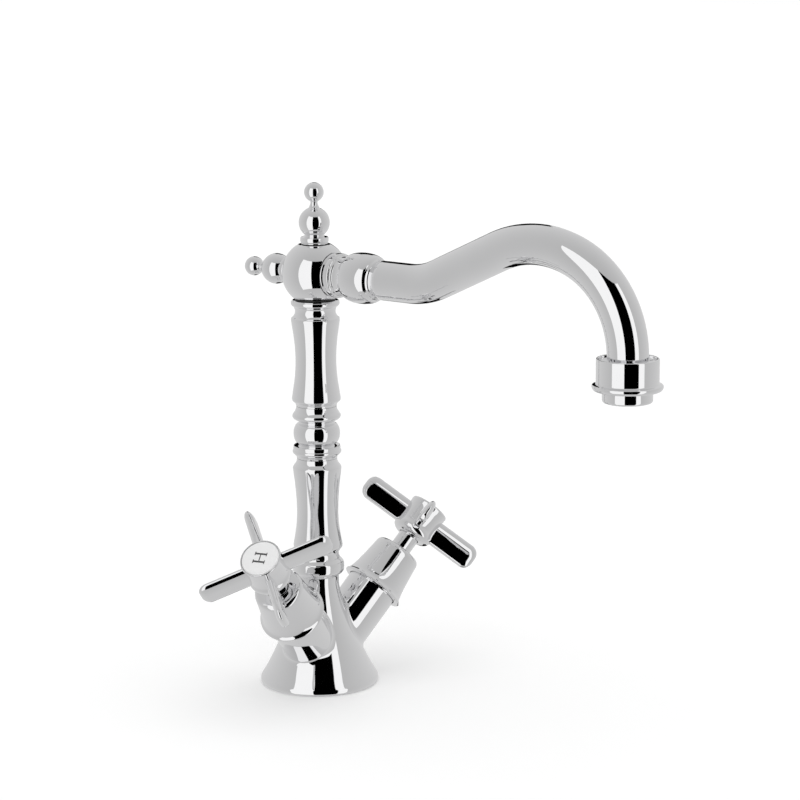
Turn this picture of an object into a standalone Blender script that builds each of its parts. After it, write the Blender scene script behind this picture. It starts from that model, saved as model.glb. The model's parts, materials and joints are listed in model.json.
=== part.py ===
"""A two-handle bathroom mixer faucet with a turned pillar, a swivelling arched spout and cross handles.

Run it with  blender --background --python part.py  or from Blender's text editor.
Metres, +Z up. The origin is the centre of the underside, the spout reaches towards -Y,
the hot valve is on the -X side and the cold valve on the +X side.
"""

import math

import bmesh
import bpy
from mathutils import Matrix, Vector

MM = 0.001

# Driving dimensions: the whole faucet
BASE_RADIUS = 29.4 * MM
PILLAR_JOINT_Z = 54.6 * MM
KNOP_JOINT_Z = 114.2 * MM
SHAFT_JOINT_Z = 140.4 * MM
SWIVEL_Z = 193.3 * MM
BALL_RADIUS = 16.15 * MM
TRUNK_RADIUS = 10.2 * MM
BALL_CENTRE_Z = SWIVEL_Z + BALL_RADIUS - 3.15 * MM

# Driving dimensions: fits between pieces
SEAT_GAP = 0.3 * MM
WATERWAY_RADIUS = 4.5 * MM
SPIGOT_RADIUS = 6.5 * MM
SPIGOT_LENGTH = 7.5 * MM
STUD_RADIUS = 2.8 * MM
STUD_LENGTH = 6.0 * MM

# Driving dimensions: underside
BOSS_RADIUS = 15.5 * MM
GASKET_LAND = 1.7 * MM
RELIEF_DEPTH = 6.0 * MM
RIM_WIDTH = 4.2 * MM
GASKET_WIDTH = 2.9 * MM
GASKET_INNER_RADIUS = BASE_RADIUS - RIM_WIDTH - GASKET_WIDTH
GASKET_THICKNESS = 2.0 * MM
INLET_RADIUS = 4.5 * MM
INLET_DEPTH = 13.0 * MM
INLET_OFFSET_X = 7.5 * MM
FIXING_HOLE_RADIUS = 3.4 * MM
FIXING_HOLE_DEPTH = 12.0 * MM
FIXING_HOLE_Y = 9.5 * MM

# Driving dimensions: valves, measured along each valve's axis from where it meets the pillar's axis
VALVE_RISE = math.radians(45.2)
VALVE_SWEEP = math.radians(16.7)
VALVE_ORIGIN_Z = 10.7 * MM
ARM_RADIUS = 13.0 * MM
ARM_END = 47.0 * MM
SEAT_FACE = ARM_END - 15.1 * MM
SEAT_BORE_RADIUS = ARM_RADIUS - 4.0 * MM
SEAT_DRILL_RADIUS = 3.2 * MM
CHAMBER_RADIUS = ARM_RADIUS - 2.8 * MM
CROSS_DRILL_RADIUS = 2.2 * MM
BELL_RIM = ARM_END - 1.7 * MM
BELL_TOP = ARM_END + 22.2 * MM
BELL_LIP_RADIUS = ARM_RADIUS + 3.3 * MM
BELL_TOP_RADIUS = ARM_RADIUS - 1.6 * MM
SPINDLE_RADIUS = 5.3 * MM
SPINDLE_CLEARANCE = 0.3 * MM
DRIVE_RADIUS = SPINDLE_RADIUS - 1.3 * MM
NECK_RADIUS = SEAT_BORE_RADIUS - 0.5 * MM
DISC_RADIUS = SEAT_BORE_RADIUS - 2.6 * MM
DISC_THICKNESS = 1.9 * MM
SEAL_THICKNESS = 2.9 * MM
PORT_RADIUS = 1.9 * MM
PORT_OFFSET = 3.3 * MM
NOTCH_RADIUS = 2.4 * MM
NOTCH_OFFSET = 5.2 * MM
QUARTER_TURN = math.radians(90)

# Driving dimensions: cross handles
HANDLE_PLANE = BELL_TOP + 18.0 * MM
HUB_RADIUS = 10.4 * MM
HUB_BELOW = 9.4 * MM
HUB_ABOVE = 9.2 * MM
HANDLE_REACH = 34.0 * MM
ARM_HEIGHT = 12.6 * MM
ARM_THICKNESS = 4.9 * MM
ARM_EDGE_RADIUS = 1.2 * MM
CAP_RADIUS = HUB_RADIUS - 1.2 * MM
CAP_THICKNESS = 1.6 * MM
HOT_REST_ANGLE = math.radians(32.7)
COLD_REST_ANGLE = math.radians(55.1)

# Driving dimensions: spout, measured forward from the pillar's axis
TUBE_RADIUS = 9.6 * MM
TUBE_WALL = 1.4 * MM
TUBE_SOCKET_RADIUS = TUBE_RADIUS - 2.0 * MM
TUBE_SOCKET_LENGTH = 13.0 * MM
UNION_FLANGE_START = BALL_RADIUS - 3.95 * MM
UNION_FLANGE_RADIUS = TUBE_RADIUS + 1.3 * MM
UNION_BEAD_RADIUS = TUBE_RADIUS + 2.7 * MM
UNION_END = UNION_FLANGE_START + 28.8 * MM
COLLAR_RADIUS = TUBE_RADIUS + 4.7 * MM
COLLAR_FLANGE_RADIUS = COLLAR_RADIUS + 1.9 * MM
COLLAR_HEIGHT = 14.6 * MM
AERATOR_RADIUS = TUBE_RADIUS + 1.9 * MM
AERATOR_DROP = 5.4 * MM

# The spout's centreline as a bender makes it: ("straight", length) and ("bend", radius, degrees up)
FIRST_BEND_START = UNION_END + 19.3 * MM
RISE_ANGLE = 24.8
CREST_ANGLE = 21.9
RISE_BEND_RADIUS = 39.8 * MM
RISE_LENGTH = 38.2 * MM
CREST_BEND_RADIUS = 54.7 * MM
FALL_BEND_RADIUS = 46.4 * MM

# Facets round a full turn
FINE = 24
MEDIUM = 16
COARSE = 12


def clear_scene():
    for obj in list(bpy.data.objects):
        bpy.data.objects.remove(obj)


def collection(name, hidden=False):
    group = bpy.data.collections.new(name)
    bpy.context.scene.collection.children.link(group)
    group.hide_render = hidden
    return group


clear_scene()
PARTS = collection("bathroom_mixer_faucet")
CUTTERS = collection("cutters", hidden=True)


def material(name, colour, roughness, metallic):
    made = bpy.data.materials.new(name)
    made.use_nodes = True
    shader = made.node_tree.nodes["Principled BSDF"]
    shader.inputs["Base Color"].default_value = (*colour, 1.0)
    shader.inputs["Roughness"].default_value = roughness
    shader.inputs["Metallic"].default_value = metallic
    return made


CHROME = material("chrome_plate", (0.72, 0.72, 0.73), 0.05, 1.0)
BRASS = material("bare_brass", (0.74, 0.58, 0.30), 0.30, 1.0)
STEEL = material("stainless_steel", (0.60, 0.60, 0.61), 0.25, 1.0)
RUBBER = material("black_rubber", (0.03, 0.03, 0.03), 0.70, 0.0)
FIBRE = material("red_fibre", (0.42, 0.12, 0.08), 0.85, 0.0)
CERAMIC = material("alumina_ceramic", (0.88, 0.87, 0.83), 0.25, 0.0)
ENAMEL = material("white_enamel", (0.86, 0.86, 0.85), 0.20, 0.0)
PLASTIC = material("white_acetal", (0.80, 0.80, 0.78), 0.45, 0.0)
SLIP_PLASTIC = material("black_acetal", (0.03, 0.03, 0.03), 0.40, 0.0)


def place(obj, parent=None, cutter=False):
    (CUTTERS if cutter else PARTS).objects.link(obj)
    obj.parent = parent
    if cutter:
        obj.hide_render = True
        obj.display_type = "WIRE"
    return obj


def turned(name, outline, finish=None, parent=None, steps=FINE, cutter=False):
    """A lathe-turned solid: the (radius, height) outline, listed down its outer side, spun about its own Z axis."""
    mesh = bpy.data.meshes.new(name)
    count = len(outline)
    on_axis = outline[0][0] == 0 and outline[-1][0] == 0
    edges = [(i, i + 1) for i in range(count - 1)]
    if not on_axis:
        edges.append((count - 1, 0))
    mesh.from_pydata([(radius, 0, height) for radius, height in outline], edges, [])
    if finish:
        mesh.materials.append(finish)
    obj = place(bpy.data.objects.new(name, mesh), parent, cutter)
    screw = obj.modifiers.new("turn", "SCREW")
    screw.steps = steps
    screw.render_steps = steps
    screw.use_merge_vertices = True
    screw.merge_threshold = 0.01 * MM
    screw.use_smooth_shade = True
    return obj


def ring(inner, outer, bottom, top):
    """The outline of a plain washer or of a ring-shaped cut."""
    return [(outer, top), (outer, bottom), (inner, bottom), (inner, top)]


def plug(radius, bottom, top):
    """The outline of a plain cylinder."""
    return [(0, top), (radius, top), (radius, bottom), (0, bottom)]


def torus_outline(major, minor, height, points=6):
    """The outline of an O-ring: a small circle whose first point is its highest."""
    turns = [math.tau * i / points for i in range(points)]
    return [(major + minor * math.sin(a), height + minor * math.cos(a)) for a in turns]


def arc_outline(radius, centre, start, end, points):
    """Points of an arc in an outline, by angle in degrees from straight up, turning outwards."""
    angles = [math.radians(start + (end - start) * i / (points - 1)) for i in range(points)]
    return [(radius * math.sin(a), centre + radius * math.cos(a)) for a in angles]


def apply_boolean(obj, other, operation):
    cut = obj.modifiers.new(other.name, "BOOLEAN")
    cut.object = other
    cut.operation = operation
    cut.solver = "EXACT"
    return cut


def drill(obj, *cutters):
    for cutter in cutters:
        apply_boolean(obj, cutter, "DIFFERENCE")


def fuse(obj, *others):
    for other in others:
        apply_boolean(obj, other, "UNION")


def mesh_of(curve_object, name, finish=None, parent=None, cutter=False):
    """A curve made into a closed mesh object in the same place, so that Boolean modifiers can use it."""
    graph = bpy.context.evaluated_depsgraph_get()
    graph.update()
    mesh = bpy.data.meshes.new_from_object(curve_object.evaluated_get(graph))
    mesh.name = name
    work = bmesh.new()
    work.from_mesh(mesh)
    bmesh.ops.remove_doubles(work, verts=work.verts, dist=0.01 * MM)
    bmesh.ops.recalc_face_normals(work, faces=work.faces)
    work.to_mesh(mesh)
    work.free()
    mesh.materials.clear()
    if finish:
        mesh.materials.append(finish)
    obj = place(bpy.data.objects.new(name, mesh), parent, cutter)
    obj.matrix_basis = curve_object.matrix_basis.copy()
    bpy.data.objects.remove(curve_object)
    return obj


def axis_empty(name, origin, along, across):
    """An empty whose Z axis runs along a joint or a turned piece's axis, and whose X axis lies across it."""
    along = Vector(along).normalized()
    across = Vector(across).normalized()
    third = along.cross(across)
    turn = Matrix((across, third, along)).transposed().to_4x4()
    empty = place(bpy.data.objects.new(name, None))
    empty.empty_display_size = 10 * MM
    empty.matrix_basis = Matrix.Translation(Vector(origin)) @ turn
    return empty


# ---------------------------------------------------------------- pillar, turned in three lengths


def body_casting(valves):
    """The skirt and trunk with the two valve arms, cored for the waterways."""
    trunk_top = PILLAR_JOINT_Z - SEAT_GAP
    # The share of the way from the trunk's radius to the base's, and of the height to the joint
    skirt = [
        (0.0, 0.940), (0.042, 0.848), (0.109, 0.751), (0.224, 0.623), (0.396, 0.458), (0.573, 0.321), (0.781, 0.183),
    ]
    spread = BASE_RADIUS - TRUNK_RADIUS
    outline = [(0, PILLAR_JOINT_Z + SPIGOT_LENGTH), (SPIGOT_RADIUS, PILLAR_JOINT_Z + SPIGOT_LENGTH)]
    outline += [(SPIGOT_RADIUS, trunk_top), (TRUNK_RADIUS, trunk_top)]
    outline += [(TRUNK_RADIUS + out * spread, up * PILLAR_JOINT_Z) for out, up in skirt]
    outline += [(BASE_RADIUS - 0.4 * MM, 3.2 * MM), (BASE_RADIUS, 2.0 * MM), (BASE_RADIUS, 0.8 * MM)]
    groove_inner = GASKET_INNER_RADIUS - SEAT_GAP
    groove_outer = GASKET_INNER_RADIUS + GASKET_WIDTH + SEAT_GAP
    groove_top = GASKET_THICKNESS + SEAT_GAP
    relief_outer = groove_inner - GASKET_LAND
    outline += [(BASE_RADIUS - 0.6 * MM, 0), (groove_outer, 0), (groove_outer, groove_top)]
    outline += [(groove_inner, groove_top), (groove_inner, 0)]
    if relief_outer > BOSS_RADIUS + MM:
        outline += [(relief_outer, 0), (relief_outer, RELIEF_DEPTH), (BOSS_RADIUS, RELIEF_DEPTH), (BOSS_RADIUS, 0)]
    outline += [(0, 0)]
    casting = turned("body_casting", outline, CHROME, steps=FINE)

    below = -2 * MM
    central_bottom = 26.0 * MM
    cuts = [
        turned(
            "central_bore_cut",
            plug(WATERWAY_RADIUS, central_bottom, PILLAR_JOINT_Z + SPIGOT_LENGTH + 2 * MM),
            steps=COARSE,
            cutter=True,
        ),
    ]
    hole = turned("fixing_hole_cut", plug(FIXING_HOLE_RADIUS, below, FIXING_HOLE_DEPTH), steps=COARSE, cutter=True)
    hole.location.y = FIXING_HOLE_Y
    cuts.append(hole)

    arms = []
    for side, valve in valves.items():
        arms.append(turned(f"{side}_arm", plug(ARM_RADIUS, 0, ARM_END), parent=valve, cutter=True))
        cuts.append(seat_bore_cut(side, valve))
        cuts.append(inlet_cut(side))
        cuts.append(cross_drill_cut(side, central_bottom))
    bpy.context.view_layer.update()
    fuse(casting, *arms)
    drill(casting, *cuts)
    return casting


def valve_direction(side):
    """The unit vector along a valve's axis, upwards, outwards and swept towards the spout."""
    outward = -1 if side == "hot" else 1
    level = math.cos(VALVE_RISE)
    return Vector(
        (outward * level * math.cos(VALVE_SWEEP), -level * math.sin(VALVE_SWEEP), math.sin(VALVE_RISE))
    )


def inlet_reach():
    """How far along the valve's axis the inlet socket meets it."""
    return INLET_OFFSET_X / (math.cos(VALVE_RISE) * math.cos(VALVE_SWEEP))


def seat_bore_cut(side, valve):
    """The stepped bore for the valve: drill, seat bore and the undercut chamber round the windows."""
    undercut_low = SEAT_FACE + 4.1 * MM
    undercut_high = SEAT_FACE + 11.1 * MM
    outline = [
        (0, ARM_END + MM),
        (SEAT_BORE_RADIUS, ARM_END + MM),
        (SEAT_BORE_RADIUS, undercut_high),
        (CHAMBER_RADIUS, undercut_high - MM),
        (CHAMBER_RADIUS, undercut_low + MM),
        (SEAT_BORE_RADIUS, undercut_low),
        (SEAT_BORE_RADIUS, SEAT_FACE),
        (SEAT_DRILL_RADIUS, SEAT_FACE),
        (SEAT_DRILL_RADIUS, inlet_reach() - MM),
        (0, inlet_reach() - MM),
    ]
    return turned(f"{side}_seat_bore_cut", outline, parent=valve, steps=MEDIUM, cutter=True)


def inlet_cut(side):
    """The socket for one flexible tail, which meets the valve's drill at its top."""
    meeting = Vector((0, 0, VALVE_ORIGIN_Z)) + valve_direction(side) * inlet_reach()
    top = meeting.z + 0.5 * MM
    outline = [
        (0, top),
        (SEAT_DRILL_RADIUS, top),
        (SEAT_DRILL_RADIUS, INLET_DEPTH),
        (INLET_RADIUS, INLET_DEPTH),
        (INLET_RADIUS, -2 * MM),
        (0, -2 * MM),
    ]
    cut = turned(f"{side}_inlet_cut", outline, steps=COARSE, cutter=True)
    cut.location = (meeting.x, meeting.y, 0)
    return cut


def cross_drill_cut(side, central_bottom):
    """The slanting hole that takes water from a valve's chamber to the central bore."""
    along = valve_direction(side)
    level = Vector((along.x, along.y, 0)).normalized()
    inward_up = Vector((-level.x * along.z, -level.y * along.z, math.cos(VALVE_RISE)))
    start = Vector((0, 0, central_bottom + 1.5 * MM))
    chamber = Vector((0, 0, VALVE_ORIGIN_Z)) + along * (SEAT_FACE + 6.6 * MM)
    target = chamber + inward_up * (SEAT_BORE_RADIUS - 0.5 * MM)
    run = target - start
    cut = turned(f"{side}_cross_drill_cut", plug(CROSS_DRILL_RADIUS, 0, run.length), steps=COARSE, cutter=True)
    cut.location = start
    cut.rotation_mode = "QUATERNION"
    cut.rotation_quaternion = Vector((0, 0, 1)).rotation_difference(run)
    return cut


def base_gasket():
    outline = ring(GASKET_INNER_RADIUS, GASKET_INNER_RADIUS + GASKET_WIDTH, 0, GASKET_THICKNESS)
    return turned("base_gasket", outline, RUBBER)


def tube_length(name, profile, bottom, top, spigot=True):
    """A bored length of the pillar: a socket at the bottom, its profile outside, a spigot on top.

    A profile row is the radius in mm and the height as a share of the length between the joints.
    """
    socket_radius = SPIGOT_RADIUS + SEAT_GAP
    socket_top = bottom + SPIGOT_LENGTH + SEAT_GAP
    outline = []
    if spigot:
        outline += [(SPIGOT_RADIUS, top + SPIGOT_LENGTH), (SPIGOT_RADIUS, top - SEAT_GAP)]
        outline += [(profile[0][0] * MM, top - SEAT_GAP)]
    outline += [(radius * MM, bottom + share * (top - bottom)) for radius, share in profile]
    outline += [(profile[-1][0] * MM, bottom), (socket_radius, bottom), (socket_radius, socket_top)]
    outline += [(WATERWAY_RADIUS, socket_top)]
    return outline


def lower_pillar():
    profile = [
        (10.0, 0.9866), (10.3, 0.9664), (11.9, 0.9279), (11.9, 0.9060), (11.1, 0.7919), (10.4, 0.6527),
        (10.2, 0.5352), (10.7, 0.4128), (11.75, 0.3020), (12.15, 0.2584), (10.5, 0.2114), (10.5, 0.1779),
        (12.4, 0.1208), (12.75, 0.0973), (12.75, 0.0436), (12.1, 0.0201), (10.4, 0.0067),
    ]
    outline = tube_length("lower_pillar", profile, PILLAR_JOINT_Z, KNOP_JOINT_Z)
    outline += [(WATERWAY_RADIUS, KNOP_JOINT_Z + SPIGOT_LENGTH)]
    return turned("lower_pillar", outline, CHROME)


def pillar_knop():
    """The turned knop between the two shafts: a dished ring, a bead and a flared ring."""
    profile = [
        (10.1, 0.9542), (11.0, 0.8740), (11.9, 0.8168), (11.6, 0.7710), (8.65, 0.7023), (8.65, 0.6718),
        (10.7, 0.5916), (11.45, 0.4733), (10.7, 0.3626), (8.65, 0.2824), (8.65, 0.2214), (11.3, 0.2328),
        (11.95, 0.1565), (11.8, 0.1069), (10.1, 0.0305),
    ]
    outline = tube_length("pillar_knop", profile, KNOP_JOINT_Z, SHAFT_JOINT_Z)
    outline += [(WATERWAY_RADIUS, SHAFT_JOINT_Z + SPIGOT_LENGTH)]
    return turned("pillar_knop", outline, CHROME)


SWIVEL_SPIGOT_RADIUS = 7.0 * MM
SWIVEL_CLEARANCE = 0.25 * MM
SWIVEL_DEPTH = 22.0 * MM
SWIVEL_BORE_RADIUS = SWIVEL_SPIGOT_RADIUS + SWIVEL_CLEARANCE
SWIVEL_THREAD_RADIUS = SWIVEL_SPIGOT_RADIUS - 1.4 * MM
UNION_NOSE_END = SWIVEL_THREAD_RADIUS + 0.2 * MM
RETAINING_Z = SWIVEL_Z - 6.1 * MM
RETAINING_SCREW_RADIUS = 1.4 * MM


def upper_pillar():
    profile = [
        (11.4, 1.0000), (11.85, 0.9754), (11.7, 0.9509), (10.1, 0.9187), (10.0, 0.8809), (11.8, 0.8223),
        (11.85, 0.7977), (11.2, 0.7146), (10.55, 0.6257), (10.1, 0.5123), (10.05, 0.3894), (10.5, 0.2647),
        (11.2, 0.1777), (11.95, 0.0756), (11.6, 0.0491), (10.1, 0.0151),
    ]
    outline = tube_length("upper_pillar", profile, SHAFT_JOINT_Z, SWIVEL_Z, spigot=False)
    swivel_floor = SWIVEL_Z - SWIVEL_DEPTH - SEAT_GAP
    outline += [(WATERWAY_RADIUS, swivel_floor), (SWIVEL_BORE_RADIUS, swivel_floor), (SWIVEL_BORE_RADIUS, SWIVEL_Z)]
    pillar = turned("upper_pillar", outline, CHROME)
    hole = turned(
        "retaining_screw_hole_cut",
        plug(RETAINING_SCREW_RADIUS + SEAT_GAP, 5 * MM, 14 * MM),
        steps=COARSE,
        cutter=True,
    )
    aim_backwards(hole)
    drill(pillar, hole)
    return pillar


def aim_backwards(obj):
    """Turns a piece made along +Z so that it points to the rear, at the retaining screw's height."""
    obj.location.z = RETAINING_Z
    obj.rotation_euler = (-math.pi / 2, 0, 0)


def retaining_screw():
    """A grub screw whose tip runs in the swivel spigot's groove, so the spout turns but can't lift off."""
    head, tip = 9.8 * MM, 6.2 * MM
    outline = [
        (0, head - 1.2 * MM), (0.7 * MM, head - 1.2 * MM), (0.7 * MM, head), (RETAINING_SCREW_RADIUS, head),
        (RETAINING_SCREW_RADIUS, tip + 0.8 * MM), (0.7 * MM, tip), (0, tip),
    ]
    screw = turned("retaining_screw", outline, STEEL, steps=COARSE)
    aim_backwards(screw)
    return screw


# ---------------------------------------------------------------- swivel and ball

WASHER_THICKNESS = 0.4 * MM
BALL_FLAT_Z = SWIVEL_Z + 0.9 * MM
O_RING_SECTION = 0.55 * MM


def swivel_washer():
    """The slip ring that the ball turns on."""
    low = SWIVEL_Z + 0.25 * MM
    return turned("swivel_washer", ring(SWIVEL_BORE_RADIUS + 0.55 * MM, SWIVEL_BORE_RADIUS + 2.65 * MM, low, low + WASHER_THICKNESS), SLIP_PLASTIC)


def o_ring_groove(height, radius, depth=1.5 * MM, width=1.8 * MM):
    """Outline points, going down, of a groove that holds an O-ring."""
    half = width / 2
    return [
        (radius, height + half),
        (radius - depth, height + half),
        (radius - depth, height - half),
        (radius, height - half),
    ]


def swivel_spigot(spout):
    """The tube that joins the ball to the pillar: screwed into the ball, free to turn in the pillar."""
    foot = SWIVEL_Z - SWIVEL_DEPTH
    shoulder = BALL_FLAT_Z - SEAT_GAP
    thread_top = BALL_FLAT_Z + STUD_LENGTH
    thread_radius = SWIVEL_THREAD_RADIUS
    bore = SWIVEL_SPIGOT_RADIUS - 3.1 * MM
    outline = [(thread_radius, thread_top), (thread_radius, shoulder), (SWIVEL_SPIGOT_RADIUS, shoulder)]
    outline += o_ring_groove(RETAINING_Z, SWIVEL_SPIGOT_RADIUS, width=3.4 * MM)
    for height in swivel_o_ring_heights():
        outline += o_ring_groove(height, SWIVEL_SPIGOT_RADIUS)
    outline += [(SWIVEL_SPIGOT_RADIUS, foot), (bore, foot), (bore, thread_top)]
    return turned("swivel_spigot", outline, BRASS, parent=spout, steps=MEDIUM)


def swivel_o_ring_heights():
    return [RETAINING_Z - 6.0 * MM, RETAINING_Z - 11.5 * MM]


def swivel_o_rings(spout):
    for number, height in enumerate(swivel_o_ring_heights(), 1):
        outline = torus_outline(SWIVEL_SPIGOT_RADIUS - 0.75 * MM, O_RING_SECTION, height)
        turned(f"swivel_o_ring_{number}", outline, RUBBER, parent=spout, steps=MEDIUM)


FINIAL_FLAT = BALL_RADIUS - 2.05 * MM


def ball_hub(spout):
    """The hollow ball that turns the water forwards, with flats for the finials, the union and the pillar."""
    low = BALL_FLAT_Z - BALL_CENTRE_Z
    start = math.degrees(math.acos(FINIAL_FLAT / BALL_RADIUS))
    end = math.degrees(math.acos(low / BALL_RADIUS))
    outline = [(0, BALL_CENTRE_Z + FINIAL_FLAT)]
    outline += arc_outline(BALL_RADIUS, BALL_CENTRE_Z, start, end, 11)
    outline += [(0, BALL_FLAT_Z)]
    ball = turned("ball_hub", outline, CHROME, parent=spout)
    centre = Vector((0, 0, BALL_CENTRE_Z))
    stud_hole = STUD_RADIUS + SEAT_GAP
    thread = SWIVEL_THREAD_RADIUS + SEAT_GAP
    cuts = [
        turned(
            "ball_top_hole_cut",
            plug(stud_hole, BALL_CENTRE_Z + FINIAL_FLAT - STUD_LENGTH - SEAT_GAP, BALL_CENTRE_Z + BALL_RADIUS),
            parent=spout, steps=COARSE, cutter=True,
        ),
        turned(
            "ball_bottom_hole_cut",
            [
                (0, BALL_CENTRE_Z), (WATERWAY_RADIUS, BALL_CENTRE_Z),
                (WATERWAY_RADIUS, BALL_FLAT_Z + STUD_LENGTH + SEAT_GAP),
                (thread, BALL_FLAT_Z + STUD_LENGTH + SEAT_GAP), (thread, BALL_FLAT_Z - MM), (0, BALL_FLAT_Z - MM),
            ],
            parent=spout, steps=MEDIUM, cutter=True,
        ),
    ]
    flat = UNION_FLANGE_START - SEAT_GAP
    nose_hole = TUBE_SOCKET_RADIUS + SEAT_GAP
    nose_floor = UNION_NOSE_END - 0.9 * MM
    front = axis_empty("ball_front_axis", centre, (0, -1, 0), (1, 0, 0))
    front.parent = spout
    cuts.append(
        turned(
            "ball_front_cut",
            [
                (0, BALL_RADIUS + MM), (BALL_RADIUS, BALL_RADIUS + MM), (BALL_RADIUS, flat), (nose_hole, flat),
                (nose_hole, nose_floor), (WATERWAY_RADIUS, nose_floor), (WATERWAY_RADIUS, 0), (0, 0),
            ],
            parent=front, steps=MEDIUM, cutter=True,
        )
    )
    rear = axis_empty("ball_rear_axis", centre, (0, 1, 0), (1, 0, 0))
    rear.parent = spout
    cuts.append(
        turned(
            "ball_rear_cut",
            [
                (0, BALL_RADIUS + MM), (BALL_RADIUS, BALL_RADIUS + MM), (BALL_RADIUS, FINIAL_FLAT),
                (stud_hole, FINIAL_FLAT), (stud_hole, FINIAL_FLAT - STUD_LENGTH - SEAT_GAP),
                (0, FINIAL_FLAT - STUD_LENGTH - SEAT_GAP),
            ],
            parent=rear, steps=MEDIUM, cutter=True,
        )
    )
    bpy.context.view_layer.update()
    drill(ball, *cuts)
    return ball, front, rear


def finial(name, parent, base):
    """A finial turned from one piece: a threaded stud, a collar ring, a large ball and a small ball."""
    seat = base + FINIAL_FLAT + SEAT_GAP
    large = seat + 10.35 * MM
    small = seat + 25.2 * MM
    outline = [(0, small + 4.75 * MM)]
    outline += arc_outline(4.75 * MM, small, 30, 150, 5)
    outline += [(1.72 * MM, seat + 19.4 * MM)]
    outline += arc_outline(7.56 * MM, large, 25, 140, 6)
    outline += [(4.85 * MM, seat + 3.9 * MM), (6.7 * MM, seat + 3.3 * MM), (6.9 * MM, seat + 2.6 * MM)]
    outline += [(6.7 * MM, seat + 0.8 * MM), (6.5 * MM, seat), (STUD_RADIUS, seat)]
    outline += [(STUD_RADIUS, seat - STUD_LENGTH), (0, seat - STUD_LENGTH)]
    return turned(name, outline, CHROME, parent=parent, steps=MEDIUM)


# ---------------------------------------------------------------- spout


def spout_union(front):
    """The turned union between the ball and the tube: threaded nose, flange, neck and bead."""
    bore = TUBE_SOCKET_RADIUS - 2.2 * MM
    nose = TUBE_SOCKET_RADIUS
    socket = TUBE_SOCKET_RADIUS + SEAT_GAP
    socket_floor = UNION_END - TUBE_SOCKET_LENGTH - SEAT_GAP
    start = UNION_FLANGE_START
    outline = [
        (socket, UNION_END), (TUBE_RADIUS + 0.3 * MM, UNION_END), (TUBE_RADIUS + 1.8 * MM, UNION_END - 3.4 * MM),
        (UNION_BEAD_RADIUS, UNION_END - 10.0 * MM), (TUBE_RADIUS + 2.0 * MM, start + 13.4 * MM),
        (TUBE_RADIUS, start + 9.6 * MM), (TUBE_RADIUS, start + 5.8 * MM), (UNION_FLANGE_RADIUS, start + 4.8 * MM), (UNION_FLANGE_RADIUS, start + 2.1 * MM), (TUBE_RADIUS + 0.2 * MM, start + 1.3 * MM),
        (UNION_FLANGE_RADIUS - 0.5 * MM, start + 0.5 * MM), (UNION_FLANGE_RADIUS - 0.5 * MM, start), (nose, start), (nose, UNION_NOSE_END), (bore, UNION_NOSE_END),
        (bore, socket_floor), (socket, socket_floor),
    ]
    return turned("spout_union", outline, CHROME, parent=front)


def union_o_ring(front):
    height = UNION_END - TUBE_SOCKET_LENGTH / 2
    outline = torus_outline(TUBE_SOCKET_RADIUS - 0.75 * MM, O_RING_SECTION, height)
    return turned("union_o_ring", outline, RUBBER, parent=front, steps=MEDIUM)


def spout_route():
    """The tube's centreline as (forward, height) points: straight runs joined by arcs."""
    forward, height, heading = UNION_END + SEAT_GAP, BALL_CENTRE_Z, 0.0
    points = [(forward, height), (FIRST_BEND_START, height)]
    forward = FIRST_BEND_START
    bends = [
        (RISE_BEND_RADIUS, RISE_ANGLE, 5),
        (CREST_BEND_RADIUS, -RISE_ANGLE - CREST_ANGLE, 8),
        (FALL_BEND_RADIUS, CREST_ANGLE - 90, 10),
    ]
    for number, (radius, degrees, steps) in enumerate(bends):
        turn = math.radians(degrees)
        side = math.copysign(1, turn)
        centre = (forward - side * radius * math.sin(heading), height + side * radius * math.cos(heading))
        for step in range(1, steps + 1):
            angle = heading + turn * step / steps
            points.append((centre[0] + side * radius * math.sin(angle), centre[1] - side * radius * math.cos(angle)))
        forward, height = points[-1]
        heading += turn
        if number == 0:
            forward += RISE_LENGTH * math.cos(heading)
            height += RISE_LENGTH * math.sin(heading)
            points.append((forward, height))
    return points


def tube_along(name, points, radius, parent, cutter=False, finish=None):
    """A round bar along (forward, height) points, as a bevelled curve made into a mesh."""
    data = bpy.data.curves.new(name, "CURVE")
    data.dimensions = "3D"
    data.bevel_depth = radius
    data.bevel_resolution = 6
    data.use_fill_caps = True
    line = data.splines.new("POLY")
    line.points.add(len(points) - 1)
    for point, (forward, height) in zip(line.points, points):
        point.co = (0, -forward, height, 1)
    obj = place(bpy.data.objects.new(name + "_curve", data), None, cutter)
    bpy.context.view_layer.update()
    return mesh_of(obj, name, finish, parent, cutter)


def collar_top():
    return spout_route()[-1][1] + 0.07 * MM


def collar_bottom():
    return collar_top() - COLLAR_HEIGHT


def aerator_bottom():
    return collar_bottom() - AERATOR_DROP


def outlet_drop():
    """The height of the tube's cut end inside the collar."""
    return collar_top() - 8.2 * MM


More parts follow.
